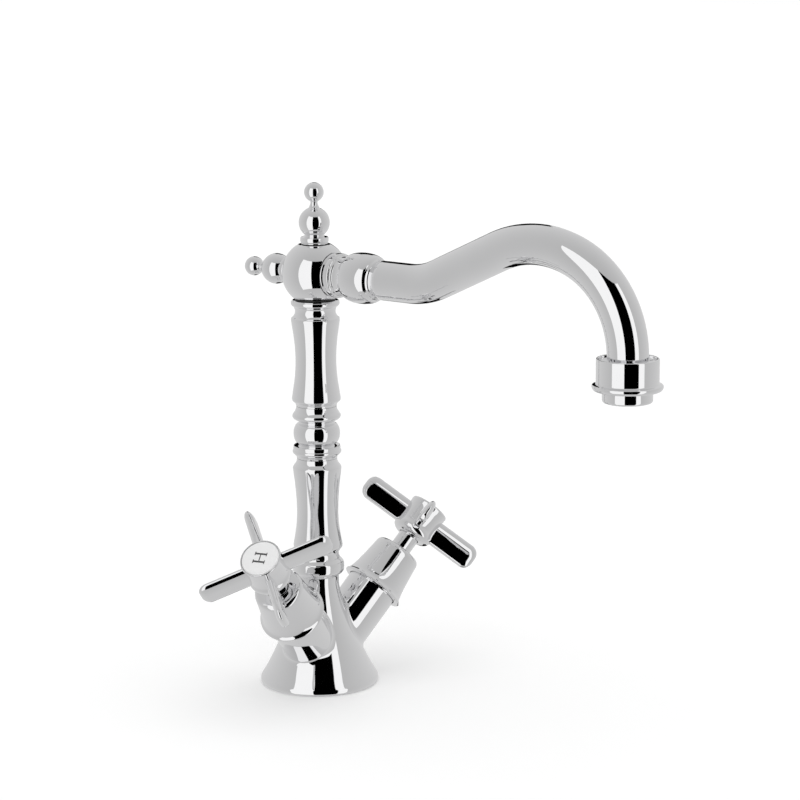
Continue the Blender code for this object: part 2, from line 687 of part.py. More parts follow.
def spout_tube(spout, front):
    """The bent tube, bored through, with a reduced end that plugs into the union."""
    route = spout_route()
    end = (route[-1][0], outlet_drop())
    tube = tube_along("spout_tube", route + [end], TUBE_RADIUS, spout, finish=CHROME)
    bore = tube_along(
        "tube_bore_cut", route + [(end[0], end[1] - 2 * MM)], TUBE_RADIUS - TUBE_WALL, spout, cutter=True
    )
    inner = TUBE_SOCKET_RADIUS - 1.9 * MM
    seam = UNION_END + 2.5 * MM
    low = UNION_END - TUBE_SOCKET_LENGTH
    outline = [(TUBE_SOCKET_RADIUS, seam)]
    outline += o_ring_groove(UNION_END - TUBE_SOCKET_LENGTH / 2, TUBE_SOCKET_RADIUS)
    outline += [(TUBE_SOCKET_RADIUS, low), (inner, low), (inner, seam)]
    reduced = turned("tube_reduced_end", [(TUBE_RADIUS - MM, seam), (TUBE_RADIUS - MM, seam - 2 * MM),
                     (TUBE_SOCKET_RADIUS, seam - 2 * MM)] + outline[1:-1] + [(inner, seam)],
                     parent=front, steps=MEDIUM, cutter=True)
    bpy.context.view_layer.update()
    drill(tube, bore)
    fuse(tube, reduced)
    return tube


def outlet_collar(outlet):
    """The dished collar at the end of the tube, threaded inside for the aerator."""
    tube_hole = TUBE_RADIUS + SEAT_GAP
    thread = AERATOR_RADIUS + 0.4 * MM + SEAT_GAP
    top, bottom = collar_top(), collar_bottom()
    dish_floor = top - 3.6 * MM
    shelf = outlet_drop() - SEAT_GAP
    outline = [
        (COLLAR_RADIUS - 0.9 * MM, top), (COLLAR_RADIUS, top),
        (COLLAR_RADIUS, bottom + 3.2 * MM), (COLLAR_RADIUS + 0.5 * MM, bottom + 2.6 * MM),
        (COLLAR_FLANGE_RADIUS - 0.3 * MM, bottom + 2.4 * MM), (COLLAR_FLANGE_RADIUS, bottom + 1.8 * MM),
        (COLLAR_FLANGE_RADIUS - 0.4 * MM, bottom + 0.7 * MM), (COLLAR_FLANGE_RADIUS - 1.8 * MM, bottom),
        (thread, bottom), (thread, shelf - 0.4 * MM), (TUBE_RADIUS - TUBE_WALL, shelf - 0.4 * MM),
        (TUBE_RADIUS - TUBE_WALL, shelf), (tube_hole, shelf), (tube_hole, dish_floor),
        (COLLAR_RADIUS - 2.2 * MM, dish_floor), (COLLAR_RADIUS - 0.9 * MM, dish_floor + 1.6 * MM),
    ]
    return turned("outlet_collar", outline, CHROME, parent=outlet)


def aerator_washer(outlet):
    top = outlet_drop() - 2 * SEAT_GAP - 0.4 * MM
    return turned("aerator_washer", ring(AERATOR_RADIUS - 3.1 * MM, AERATOR_RADIUS - 0.1 * MM, top - 1.2 * MM, top), RUBBER, parent=outlet)


def aerator_housing(outlet):
    thread_top = outlet_drop() - 2.5 * MM
    thread_low = collar_bottom() - 0.1 * MM
    inner = AERATOR_RADIUS - 1.5 * MM
    low = aerator_bottom()
    outline = [
        (AERATOR_RADIUS + 0.4 * MM, thread_top), (AERATOR_RADIUS + 0.4 * MM, thread_low), (AERATOR_RADIUS, thread_low),
        (AERATOR_RADIUS, low + 0.5 * MM), (AERATOR_RADIUS - 0.5 * MM, low), (inner - 1.2 * MM, low),
        (inner - 1.2 * MM, low + 1.3 * MM), (inner, low + 1.3 * MM), (inner, thread_top),
    ]
    return turned("aerator_housing", outline, CHROME, parent=outlet)


def aerator_cartridge(outlet):
    """The plastic aerator insert, held against the housing's lip."""
    radius = AERATOR_RADIUS - 1.5 * MM - SEAT_GAP
    low = aerator_bottom() + 1.3 * MM + SEAT_GAP
    top = outlet_drop() - 2.9 * MM
    outline = [
        (radius, top), (radius, low), (radius - 1.6 * MM, low), (radius - 1.6 * MM, top - 1.6 * MM),
        (3.2 * MM, top - 1.6 * MM), (3.2 * MM, top),
    ]
    return turned("aerator_cartridge", outline, PLASTIC, parent=outlet, steps=MEDIUM)


def aerator_mesh(outlet):
    """The outlet screen: a perforated disc across the cartridge's mouth."""
    radius = AERATOR_RADIUS - 1.5 * MM - 1.6 * MM - 2 * SEAT_GAP
    low = aerator_bottom() + 1.7 * MM
    disc = turned("aerator_mesh", plug(radius, low, low + 0.7 * MM), STEEL, parent=outlet, steps=MEDIUM)
    pitch = 4.0 * MM
    holes = [(0.0, 0.0)]
    holes += [(pitch * math.cos(i * math.tau / 6), pitch * math.sin(i * math.tau / 6)) for i in range(6)]
    for number, (x, y) in enumerate(holes):
        hole = turned(f"mesh_hole_cut_{number}", plug(1.2 * MM, low - MM, low + 2 * MM), parent=outlet, steps=8, cutter=True)
        hole.location = (x, y, 0)
        bpy.context.view_layer.update()
        drill(disc, hole)
    return disc


# ---------------------------------------------------------------- valves


def valve_axis(side):
    """The empty at a valve's axis: Z up the axis, X level. Heights along it are distances from the pillar's axis."""
    along = valve_direction(side)
    across = Vector((0, 0, 1)).cross(Vector((along.x, along.y, 0)))
    return axis_empty(f"{side}_valve_axis", (0, 0, VALVE_ORIGIN_Z), along, across)


def valve_bell(side, valve):
    """The bell-shaped shroud that screws on the headwork and hides it."""
    hole = SPINDLE_RADIUS + SPINDLE_CLEARANCE
    thread = NECK_RADIUS + SEAT_GAP
    shoulder = 3.0 * MM
    outline = [(hole, BELL_TOP)]
    corner = [(math.sin(a), math.cos(a)) for a in (math.radians(d) for d in (0, 30, 60, 90))]
    outline += [
        (BELL_TOP_RADIUS - shoulder + shoulder * s, BELL_TOP - shoulder + shoulder * c) for s, c in corner
    ]
    outline += [
        (BELL_TOP_RADIUS + 1.1 * MM, BELL_RIM + 14.0 * MM), (ARM_RADIUS + 0.8 * MM, BELL_RIM + 7.0 * MM),
        (ARM_RADIUS + 1.6 * MM, BELL_RIM + 3.6 * MM),
        (BELL_LIP_RADIUS - 0.2 * MM, BELL_RIM + 1.3 * MM),
        (BELL_LIP_RADIUS, BELL_RIM + 0.7 * MM), (BELL_LIP_RADIUS - 0.2 * MM, BELL_RIM),
        (ARM_RADIUS + SEAT_GAP, BELL_RIM), (ARM_RADIUS + SEAT_GAP, ARM_END + SEAT_GAP),
        (ARM_RADIUS - 0.6 * MM, ARM_END + 1.5 * MM), (BELL_TOP_RADIUS - 0.6 * MM, ARM_END + 12.0 * MM),
        (thread, ARM_END + 13.0 * MM),
        (thread, BELL_TOP - 2.9 * MM), (hole, BELL_TOP - 2.9 * MM),
    ]
    return turned(f"{side}_valve_bell", outline, CHROME, parent=valve)


def headwork_body(side, valve):
    """The brass headwork: threaded foot in the arm, flange on its washer, neck for the bell, windows for water."""
    foot = SEAT_FACE + 1.1 * MM
    flange_low = ARM_END + 1.8 * MM
    flange_high = flange_low + 3.2 * MM
    neck_top = BELL_TOP - 2.9 * MM - SEAT_GAP
    bore = SPINDLE_RADIUS + SPINDLE_CLEARANCE
    chamber = DISC_RADIUS + 0.5 * MM
    chamber_top = SEAT_FACE + 10.1 * MM
    outline = [
        (NECK_RADIUS, neck_top), (NECK_RADIUS, flange_high), (ARM_RADIUS - 1.5 * MM, flange_high),
        (ARM_RADIUS - 1.5 * MM, flange_low),
        (SEAT_BORE_RADIUS - SEAT_GAP, flange_low), (SEAT_BORE_RADIUS - SEAT_GAP, foot), (chamber, foot),
        (chamber, chamber_top), (bore, chamber_top), (bore, neck_top),
    ]
    body = turned(f"{side}_headwork_body", outline, BRASS, parent=valve, steps=MEDIUM)
    bpy.ops.mesh.primitive_cube_add(size=1)
    window = bpy.context.object
    window.name = f"{side}_headwork_window_cut"
    for owner in list(window.users_collection):
        owner.objects.unlink(window)
    place(window, valve, cutter=True)
    window.scale = (24 * MM, 5 * MM, 2.4 * MM)
    window.location = (0, 0, chamber_top - 1.7 * MM)
    bpy.context.view_layer.update()
    drill(body, window)
    return body


def headwork_washer(side, valve):
    low = ARM_END + SEAT_GAP
    return turned(
        f"{side}_headwork_washer", ring(SEAT_BORE_RADIUS + 0.3 * MM, ARM_RADIUS - 1.7 * MM, low, low + 1.2 * MM), FIBRE, parent=valve, steps=MEDIUM
    )


def seat_seal(side, valve):
    low = SEAT_FACE + SEAT_GAP
    return turned(
        f"{side}_seat_seal", ring(3.5 * MM, DISC_RADIUS, low, low + SEAL_THICKNESS), RUBBER, parent=valve, steps=MEDIUM
    )


def fixed_disc_low():
    return SEAT_FACE + SEAL_THICKNESS + 2 * SEAT_GAP


def ported_disc(name, low, parent, port_radius, port_offset, port_angle):
    """A lapped ceramic disc with one port, which is a notch in the rim when it lies far enough out."""
    disc = turned(name, plug(DISC_RADIUS, low, low + DISC_THICKNESS), CERAMIC, parent=parent, steps=MEDIUM)
    cut = plug(port_radius, low - MM, low + DISC_THICKNESS + MM)
    port = turned(name + "_port_cut", cut, parent=parent, steps=COARSE, cutter=True)
    port.location = (port_offset * math.cos(port_angle), port_offset * math.sin(port_angle), 0)
    bpy.context.view_layer.update()
    drill(disc, port)
    return disc


def spindle(side, handle):
    """The spindle: a foot that drives the moving disc, a long stem with an O-ring groove, a square-cut drive end."""
    foot_low = fixed_disc_low() + 2 * DISC_THICKNESS + 2 * SEAT_GAP
    foot_high = foot_low + 1.2 * MM
    drive_low = HANDLE_PLANE - HUB_BELOW + 2.7 * MM
    drive_top = HANDLE_PLANE + 2.6 * MM
    hole = 2.0 * MM
    hole_low = HANDLE_PLANE - 9.5 * MM
    outline = [(hole, drive_top), (DRIVE_RADIUS, drive_top), (DRIVE_RADIUS, drive_low), (SPINDLE_RADIUS, drive_low)]
    outline += o_ring_groove(spindle_o_ring_height(), SPINDLE_RADIUS, depth=1.1 * MM, width=1.5 * MM)
    outline += [(SPINDLE_RADIUS, foot_high), (DISC_RADIUS, foot_high), (DISC_RADIUS, foot_low), (0, foot_low)]
    outline = [(0, hole_low)] + [(hole, hole_low)] + outline
    return turned(f"{side}_spindle", outline, CHROME, parent=handle, steps=MEDIUM)


def spindle_o_ring_height():
    return ARM_END + 9.0 * MM


def spindle_o_ring(side, handle):
    outline = torus_outline(SPINDLE_RADIUS - 0.5 * MM, 0.4 * MM, spindle_o_ring_height())
    return turned(f"{side}_spindle_o_ring", outline, RUBBER, parent=handle, steps=MEDIUM)


# ---------------------------------------------------------------- cross handles


def paddle_bar(name, handle, turn):
    """Two opposite arms as one flat bar with rounded ends: a filled outline, extruded, with rounded edges."""
    half_height = ARM_HEIGHT / 2 - ARM_EDGE_RADIUS
    reach = HANDLE_REACH - ARM_EDGE_RADIUS
    corner = 4.2 * MM
    points = []
    for side in (1, -1):
        for number in range(4):
            angle = math.radians(-90 + 30 * number)
            x = reach - corner + corner * math.cos(angle)
            y = half_height - corner - corner * math.sin(angle)
            points.append((side * x, -side * y))
        for number in range(4):
            angle = math.radians(30 * number)
            x = reach - corner + corner * math.cos(angle)
            y = half_height - corner + corner * math.sin(angle)
            points.append((side * x, side * y))
    data = bpy.data.curves.new(name, "CURVE")
    data.dimensions = "2D"
    data.fill_mode = "BOTH"
    data.extrude = ARM_THICKNESS / 2 - ARM_EDGE_RADIUS
    data.bevel_depth = ARM_EDGE_RADIUS
    data.bevel_resolution = 0
    line = data.splines.new("POLY")
    line.points.add(len(points) - 1)
    line.use_cyclic_u = True
    for point, (x, y) in zip(line.points, points):
        point.co = (x, y, 0, 1)
    bar = place(bpy.data.objects.new(name + "_curve", data), None, cutter=True)
    bar.matrix_basis = (
        Matrix.Translation((0, 0, HANDLE_PLANE)) @ Matrix.Rotation(turn, 4, "Z") @ Matrix.Rotation(math.pi / 2, 4, "X")
    )
    bpy.context.view_layer.update()
    return mesh_of(bar, name, parent=handle, cutter=True)


def cross_handle(side, handle):
    """The hub with its four paddle arms, bored for the spindle and recessed on top for the index cap."""
    low = HANDLE_PLANE - HUB_BELOW
    high = HANDLE_PLANE + HUB_ABOVE
    drive_hole = DRIVE_RADIUS + SEAT_GAP
    stem_hole = SPINDLE_RADIUS + SEAT_GAP
    screw_hole = 2.2 * MM
    recess = CAP_RADIUS + SEAT_GAP
    recess_floor = high - CAP_THICKNESS - SEAT_GAP
    head_floor = recess_floor - 2.6 * MM
    outline = [
        (recess, high), (HUB_RADIUS - 0.6 * MM, high), (HUB_RADIUS - 0.2 * MM, high - 0.8 * MM),
        (HUB_RADIUS - 0.4 * MM, HANDLE_PLANE), (HUB_RADIUS, low + 4.6 * MM), (HUB_RADIUS - 0.5 * MM, low + 2.8 * MM),
        (HUB_RADIUS - 2.0 * MM, low + 1.1 * MM), (HUB_RADIUS - 3.6 * MM, low), (stem_hole, low),
        (stem_hole, low + 3.0 * MM), (drive_hole, low + 3.0 * MM), (drive_hole, HANDLE_PLANE + 2.9 * MM),
        (screw_hole, HANDLE_PLANE + 2.9 * MM), (screw_hole, head_floor), (4.2 * MM, head_floor),
        (4.2 * MM, recess_floor), (recess, recess_floor),
    ]
    hub = turned(f"{side}_cross_handle", outline, CHROME, parent=handle, steps=MEDIUM)
    bars = [paddle_bar(f"{side}_bar_{number}", handle, number * math.pi / 2) for number in (0, 1)]
    core = turned(
        f"{side}_hub_core_cut",
        [
            (0, high + MM), (recess, high + MM), (recess, recess_floor), (4.2 * MM, recess_floor),
            (4.2 * MM, head_floor), (screw_hole, head_floor), (screw_hole, HANDLE_PLANE + 2.9 * MM),
            (drive_hole, HANDLE_PLANE + 2.9 * MM), (drive_hole, low + 3.0 * MM), (stem_hole, low + 3.0 * MM),
            (stem_hole, low - MM), (0, low - MM),
        ],
        parent=handle, steps=MEDIUM, cutter=True,
    )
    bpy.context.view_layer.update()
    fuse(hub, *bars)
    drill(hub, core)
    return hub


def handle_screw(side, handle):
    head_low = HANDLE_PLANE + HUB_ABOVE - CAP_THICKNESS - 2.6 * MM
    outline = [
        (0, head_low + 0.9 * MM), (1.4 * MM, head_low + 0.9 * MM), (1.4 * MM, head_low + 2.0 * MM),
        (3.6 * MM, head_low + 2.0 * MM), (3.6 * MM, head_low), (1.7 * MM, head_low),
        (1.7 * MM, HANDLE_PLANE - 8.9 * MM), (0, HANDLE_PLANE - 8.9 * MM),
    ]
    return turned(f"{side}_handle_screw", outline, STEEL, parent=handle, steps=COARSE)


def index_cap(side, handle):
    """The enamelled index disc that covers the screw."""
    top = HANDLE_PLANE + HUB_ABOVE
    low = top - CAP_THICKNESS
    outline = [
        (0, top + 0.3 * MM), (CAP_RADIUS - 2.4 * MM, top + 0.2 * MM), (CAP_RADIUS - 0.5 * MM, top),
        (CAP_RADIUS, top - 0.5 * MM), (CAP_RADIUS, low), (0, low),
    ]
    return turned(f"{side}_index_cap", outline, ENAMEL, parent=handle, steps=MEDIUM)


def valve(side, axis):
    valve_bell(side, axis)
    headwork_body(side, axis)
    headwork_washer(side, axis)
    seat_seal(side, axis)
    ported_disc(f"{side}_fixed_disc", fixed_disc_low(), axis, PORT_RADIUS, PORT_OFFSET, 0)
    handle = place(bpy.data.objects.new(f"{side}_handle_joint", None), axis)
    rest_angle = HOT_REST_ANGLE if side == "hot" else COLD_REST_ANGLE
    handle.rotation_euler.z = rest_angle
    bpy.context.view_layer.update()
    spindle(side, handle)
    shut = -QUARTER_TURN - rest_angle
    moving_low = fixed_disc_low() + DISC_THICKNESS + SEAT_GAP
    ported_disc(f"{side}_moving_disc", moving_low, handle, NOTCH_RADIUS, NOTCH_OFFSET, shut)
    spindle_o_ring(side, handle)
    cross_handle(side, handle)
    handle_screw(side, handle)
    index_cap(side, handle)


def build():
    valves = {side: valve_axis(side) for side in ("hot", "cold")}
    bpy.context.view_layer.update()
    body_casting(valves)
    base_gasket()
    lower_pillar()
    pillar_knop()
    upper_pillar()
    retaining_screw()
    swivel_washer()
    for side, axis in valves.items():
        valve(side, axis)

    spout = place(bpy.data.objects.new("spout_swivel_joint", None))
    swivel_spigot(spout)
    swivel_o_rings(spout)
    _, front, rear = ball_hub(spout)
    finial("top_finial", spout, BALL_CENTRE_Z)
    finial("rear_finial", rear, 0)
    spout_union(front)
    union_o_ring(front)
    spout_tube(spout, front)
    outlet = place(bpy.data.objects.new("outlet_axis", None), spout)
    outlet.location.y = -spout_route()[-1][0]
    bpy.context.view_layer.update()
    outlet_collar(outlet)
    aerator_washer(outlet)
    aerator_housing(outlet)
    aerator_cartridge(outlet)
    aerator_mesh(outlet)
    bpy.context.view_layer.update()


build()
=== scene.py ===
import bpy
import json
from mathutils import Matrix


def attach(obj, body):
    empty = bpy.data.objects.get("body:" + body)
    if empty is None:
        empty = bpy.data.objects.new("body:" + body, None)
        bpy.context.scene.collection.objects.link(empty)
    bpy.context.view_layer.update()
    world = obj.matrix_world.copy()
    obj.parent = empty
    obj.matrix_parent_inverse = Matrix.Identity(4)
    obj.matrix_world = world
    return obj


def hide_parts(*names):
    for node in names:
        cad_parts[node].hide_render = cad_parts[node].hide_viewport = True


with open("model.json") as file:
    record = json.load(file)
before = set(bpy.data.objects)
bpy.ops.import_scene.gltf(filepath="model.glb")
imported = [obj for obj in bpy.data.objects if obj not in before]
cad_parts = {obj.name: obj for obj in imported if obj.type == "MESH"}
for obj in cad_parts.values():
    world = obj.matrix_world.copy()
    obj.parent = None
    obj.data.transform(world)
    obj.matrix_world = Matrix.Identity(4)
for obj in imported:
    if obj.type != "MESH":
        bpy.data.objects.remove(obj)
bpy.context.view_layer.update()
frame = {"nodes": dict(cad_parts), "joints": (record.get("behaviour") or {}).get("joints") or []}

import json
import math

import bmesh
import bpy
import numpy as np
from mathutils import Matrix, Vector

# ---------------------------------------------------------------- studio
# A pale floor without an edge, an even grey surround for the chrome to mirror,
# and a narrow black flag between two white cards in front, which draw its streaks.

VIEW_HEADING = Vector((0.7637, 0.6163, -0.1920)).normalized()
VIEW_ROLL = math.radians(-0.35)
LEVEL_HEADING = Vector((VIEW_HEADING.x, VIEW_HEADING.y, 0)).normalized()

camera = bpy.data.objects.new("camera", bpy.data.cameras.new("camera"))
bpy.context.scene.collection.objects.link(camera)
camera.location = (-0.9953, -0.8561, 0.3995)
camera.rotation_mode = "QUATERNION"
roll = Matrix.Rotation(VIEW_ROLL, 3, "Z").to_quaternion()
camera.rotation_quaternion = VIEW_HEADING.to_track_quat("-Z", "Y") @ roll
camera.data.lens = 122.22
camera.data.sensor_width = 36.0
camera.data.clip_start = 0.05
camera.data.clip_end = 50.0
bpy.context.scene.camera = camera
bpy.context.scene.view_settings.view_transform = "Standard"


def grid_faces(rows, columns):
    """Quads between neighbouring points of a rows x columns grid, point (i, j) being number i * columns + j."""
    first = (np.arange(rows - 1)[:, None] * columns + np.arange(columns - 1)[None, :]).reshape(-1)
    return np.stack([first, first + columns, first + columns + 1, first + 1], axis=1)


def surface(name, *grids):
    """A mesh object from grids of points in metres: each grid is a (rows, columns, 3) array joined into quads,
    and points that fall together, at a pole or a seam, are merged."""
    points, faces, used = [], [], 0
    for grid in grids:
        rows, columns = grid.shape[:2]
        points.append(grid.reshape(-1, 3))
        faces.append(grid_faces(rows, columns) + used)
        used += rows * columns
    points, faces = np.concatenate(points), np.concatenate(faces)
    mesh = bpy.data.meshes.new(name)
    mesh.vertices.add(len(points))
    mesh.vertices.foreach_set("co", points.astype(np.float32).reshape(-1))
    mesh.loops.add(faces.size)
    mesh.loops.foreach_set("vertex_index", faces.astype(np.int32).reshape(-1))
    mesh.polygons.add(len(faces))
    mesh.polygons.foreach_set("loop_start", np.arange(0, faces.size, 4, dtype=np.int32))
    mesh.update(calc_edges=True)
    work = bmesh.new()
    work.from_mesh(mesh)
    bmesh.ops.remove_doubles(work, verts=work.verts, dist=1e-6)
    bmesh.ops.recalc_face_normals(work, faces=work.faces)
    work.to_mesh(mesh)
    work.free()
    mesh.polygons.foreach_set("use_smooth", np.ones(len(mesh.polygons), dtype=bool))
    obj = bpy.data.objects.new(name, mesh)
    bpy.context.scene.collection.objects.link(obj)
    return obj


CARD_DISTANCE, CARD_CENTRE = 1.6, np.array((0, -0.06, 0.12))


def card(name, bearing, width, low, high, glow_level):
    """An upright card, bent round the faucet: bearings are degrees to the right of the camera, seen from the faucet,
    and low and high are degrees above the level. Only reflections see it."""
    to_camera = -LEVEL_HEADING
    to_right = Vector((LEVEL_HEADING.y, -LEVEL_HEADING.x, 0))
    turn = np.radians(np.linspace(bearing - width / 2, bearing + width / 2, 25))[:, None, None]
    tilt = np.radians(np.linspace(low, high, 25))[None, :, None]
    level = np.cos(turn) * np.array(to_camera) + np.sin(turn) * np.array(to_right)
    points = CARD_DISTANCE * (np.cos(tilt) * level + np.sin(tilt) * np.array((0, 0, 1))) + CARD_CENTRE
    obj = surface(name, points)
    made = bpy.data.materials.new(name)
    made.use_nodes = True
    made.node_tree.nodes.clear()
    glow = made.node_tree.nodes.new("ShaderNodeEmission")
    glow.inputs["Color"].default_value = (glow_level, glow_level, glow_level, 1)
    out = made.node_tree.nodes.new("ShaderNodeOutputMaterial")
    made.node_tree.links.new(glow.outputs["Emission"], out.inputs["Surface"])
    obj.data.materials.append(made)
    obj.visible_camera = False
    obj.visible_diffuse = False
    obj.visible_shadow = False
    return obj


WHITE_CARD, BLACK_CARD = 1.02, 0.0
card("card_left", -36, 46, -47, 50, WHITE_CARD)
card("card_flag", 11.5, 49, -47, 50, BLACK_CARD)
card("card_right", 47, 20, -47, 50, WHITE_CARD)
card("card_rear_high", 180, 15, 1, 34, BLACK_CARD)
card("card_rear_low", 180, 15, -56, -23, BLACK_CARD)

FLOOR_DROP = 0.0002
floor_reach = np.linspace(-6, 6, 13)
floor_grid = np.broadcast_arrays(floor_reach[:, None], floor_reach[None, :], -FLOOR_DROP)
floor = surface("floor", np.stack(floor_grid, axis=-1))
floor_paint = bpy.data.materials.new("floor_paint")
floor_paint.use_nodes = True
floor_shader = floor_paint.node_tree.nodes["Principled BSDF"]
floor_shader.inputs["Base Color"].default_value = (0.86, 0.86, 0.86, 1)
floor_shader.inputs["Roughness"].default_value = 1.0
floor_shader.inputs["Specular IOR Level"].default_value = 0.0
floor_shader.inputs["Emission Color"].default_value = (1, 1, 1, 1)
floor_shader.inputs["Emission Strength"].default_value = 0.19
floor.data.materials.append(floor_paint)
floor.visible_glossy = False

overhead = bpy.data.objects.new("overhead", bpy.data.lights.new("overhead", "SUN"))
bpy.context.scene.collection.objects.link(overhead)
overhead.data.energy = 1.35
overhead.data.angle = math.radians(80)
overhead.rotation_euler = (math.radians(12), math.radians(-8), 0)
overhead.visible_glossy = False

world = bpy.data.worlds.new("surround")
bpy.context.scene.world = world
world.use_nodes = True
sky = world.node_tree
sky.nodes.clear()
direction = sky.nodes.new("ShaderNodeTexCoord")
facing = sky.nodes.new("ShaderNodeVectorMath")
facing.operation = "DOT_PRODUCT"
facing.inputs[1].default_value = VIEW_HEADING
sky.links.new(direction.outputs["Generated"], facing.inputs[0])
shade = sky.nodes.new("ShaderNodeMapRange")
shade.inputs["From Min"].default_value = -1.0
shade.inputs["From Max"].default_value = 1.0
shade.inputs["To Min"].default_value = 0.47
shade.inputs["To Max"].default_value = 0.68
sky.links.new(facing.outputs["Value"], shade.inputs["Value"])
even = sky.nodes.new("ShaderNodeBackground")
sky.links.new(shade.outputs["Result"], even.inputs["Color"])
paper = sky.nodes.new("ShaderNodeBackground")
paper.inputs["Color"].default_value = (1, 1, 1, 1)
path = sky.nodes.new("ShaderNodeLightPath")
choose = sky.nodes.new("ShaderNodeMixShader")
sky.links.new(path.outputs["Is Camera Ray"], choose.inputs["Fac"])
sky.links.new(even.outputs["Background"], choose.inputs[1])
sky.links.new(paper.outputs["Background"], choose.inputs[2])
world_out = sky.nodes.new("ShaderNodeOutputWorld")
sky.links.new(choose.outputs["Shader"], world_out.inputs["Surface"])

# ---------------------------------------------------------------- body casting
# The flared foot, the trunk and the two valve arms are one brass casting, ground,
# polished and chromed. The arms run out of the skirt with a small filled corner.

MM = 0.001


def finish_group():
    """Shared surface detail: polishing haze and faint hand marks in the roughness, and a very slight waviness."""
    group = bpy.data.node_groups.new("handled_surface", "ShaderNodeTree")
    face = group.interface
    for title, kind, value in (
        ("Low", "NodeSocketFloat", 0.03),
        ("High", "NodeSocketFloat", 0.08),
        ("Scale", "NodeSocketFloat", 60.0),
        ("Stretch", "NodeSocketVector", (1.0, 1.0, 1.0)),
        ("Wave", "NodeSocketFloat", 0.05),
        ("Wave Scale", "NodeSocketFloat", 200.0),
    ):
        face.new_socket(title, in_out="INPUT", socket_type=kind).default_value = value
    face.new_socket("Roughness", in_out="OUTPUT", socket_type="NodeSocketFloat")
    face.new_socket("Mask", in_out="OUTPUT", socket_type="NodeSocketFloat")
    face.new_socket("Normal", in_out="OUTPUT", socket_type="NodeSocketVector")
    nodes, links = group.nodes, group.links
    come, leave = nodes.new("NodeGroupInput"), nodes.new("NodeGroupOutput")
    place = nodes.new("ShaderNodeTexCoord")
    stretch = nodes.new("ShaderNodeVectorMath")
    stretch.operation = "MULTIPLY"
    links.new(place.outputs["Object"], stretch.inputs[0])
    links.new(come.outputs["Stretch"], stretch.inputs[1])
    haze = nodes.new("ShaderNodeTexNoise")
    haze.inputs["Detail"].default_value = 6.0
    haze.inputs["Roughness"].default_value = 0.6
    links.new(stretch.outputs["Vector"], haze.inputs["Vector"])
    links.new(come.outputs["Scale"], haze.inputs["Scale"])
    spread = nodes.new("ShaderNodeMapRange")
    spread.inputs["From Min"].default_value = 0.38
    spread.inputs["From Max"].default_value = 0.68
    links.new(haze.outputs["Fac"], spread.inputs["Value"])
    links.new(come.outputs["Low"], spread.inputs["To Min"])
    links.new(come.outputs["High"], spread.inputs["To Max"])
    links.new(spread.outputs["Result"], leave.inputs["Roughness"])
    links.new(haze.outputs["Fac"], leave.inputs["Mask"])
    ripple = nodes.new("ShaderNodeTexNoise")
    ripple.inputs["Detail"].default_value = 2.0
    links.new(stretch.outputs["Vector"], ripple.inputs["Vector"])
    links.new(come.outputs["Wave Scale"], ripple.inputs["Scale"])
    bump = nodes.new("ShaderNodeBump")
    bump.inputs["Distance"].default_value = 0.0004
    links.new(come.outputs["Wave"], bump.inputs["Strength"])
    links.new(ripple.outputs["Fac"], bump.inputs["Height"])
    links.new(bump.outputs["Normal"], leave.inputs["Normal"])
    return group


handled_surface = finish_group()


def finish(name, light, dark, metallic, low, high, scale, wave, wave_scale, stretch=(1, 1, 1), coat=0.0):
    """A Principled material whose colour drifts between two close tones and whose roughness and normal
    come from the handled surface group."""
    made = bpy.data.materials.new(name)
    made.use_nodes = True
    nodes, links = made.node_tree.nodes, made.node_tree.links
    shader = nodes["Principled BSDF"]
    shader.inputs["Metallic"].default_value = metallic
    shader.inputs["Coat Weight"].default_value = coat
    group = nodes.new("ShaderNodeGroup")
    group.node_tree = handled_surface
    settings = {"Low": low, "High": high, "Scale": scale, "Stretch": stretch, "Wave": wave, "Wave Scale": wave_scale}
    for title, value in settings.items():
        group.inputs[title].default_value = value
    tone = nodes.new("ShaderNodeMix")
    tone.data_type = "RGBA"
    tone.inputs["A"].default_value = (*light, 1)
    tone.inputs["B"].default_value = (*dark, 1)
    links.new(group.outputs["Mask"], tone.inputs["Factor"])
    links.new(tone.outputs["Result"], shader.inputs["Base Color"])
    links.new(group.outputs["Roughness"], shader.inputs["Roughness"])
    links.new(group.outputs["Normal"], shader.inputs["Normal"])
    return made


chrome = finish("polished_chrome", (0.90, 0.90, 0.905), (0.86, 0.86, 0.87), 1.0, 0.012, 0.045, 45.0, 0.012, 90.0)


def eased(corners, samples=7, loop=False):
    """A profile from (radius, height, easing) rows in millimetres: each corner becomes a parabola that starts and
    ends at the easing distance along its two sides, and never past the middle of a side."""
    rows = np.array(corners, float)
    if loop:
        rows = np.concatenate([rows[-1:], rows, rows[:1]])
    points, easing = rows[:, :2], np.maximum(rows[1:-1, 2:], 0.02)
    back, ahead = points[:-2] - points[1:-1], points[2:] - points[1:-1]
    back_length = np.linalg.norm(back, axis=1, keepdims=True)
    ahead_length = np.linalg.norm(ahead, axis=1, keepdims=True)
    start = points[1:-1] + back / back_length * np.minimum(easing, back_length / 2)
    end = points[1:-1] + ahead / ahead_length * np.minimum(easing, ahead_length / 2)
    t = np.linspace(0, 1, samples)[None, :, None]
    curve = (1 - t) ** 2 * start[:, None] + 2 * t * (1 - t) * points[1:-1][:, None] + t**2 * end[:, None]
    curve = curve.reshape(-1, 2)
    curve = np.concatenate([curve, curve[:1]]) if loop else np.concatenate([points[:1], curve, points[-1:]])
    keep = np.concatenate([[True], np.linalg.norm(np.diff(curve, axis=0), axis=1) > 1e-5])
    return curve[keep]


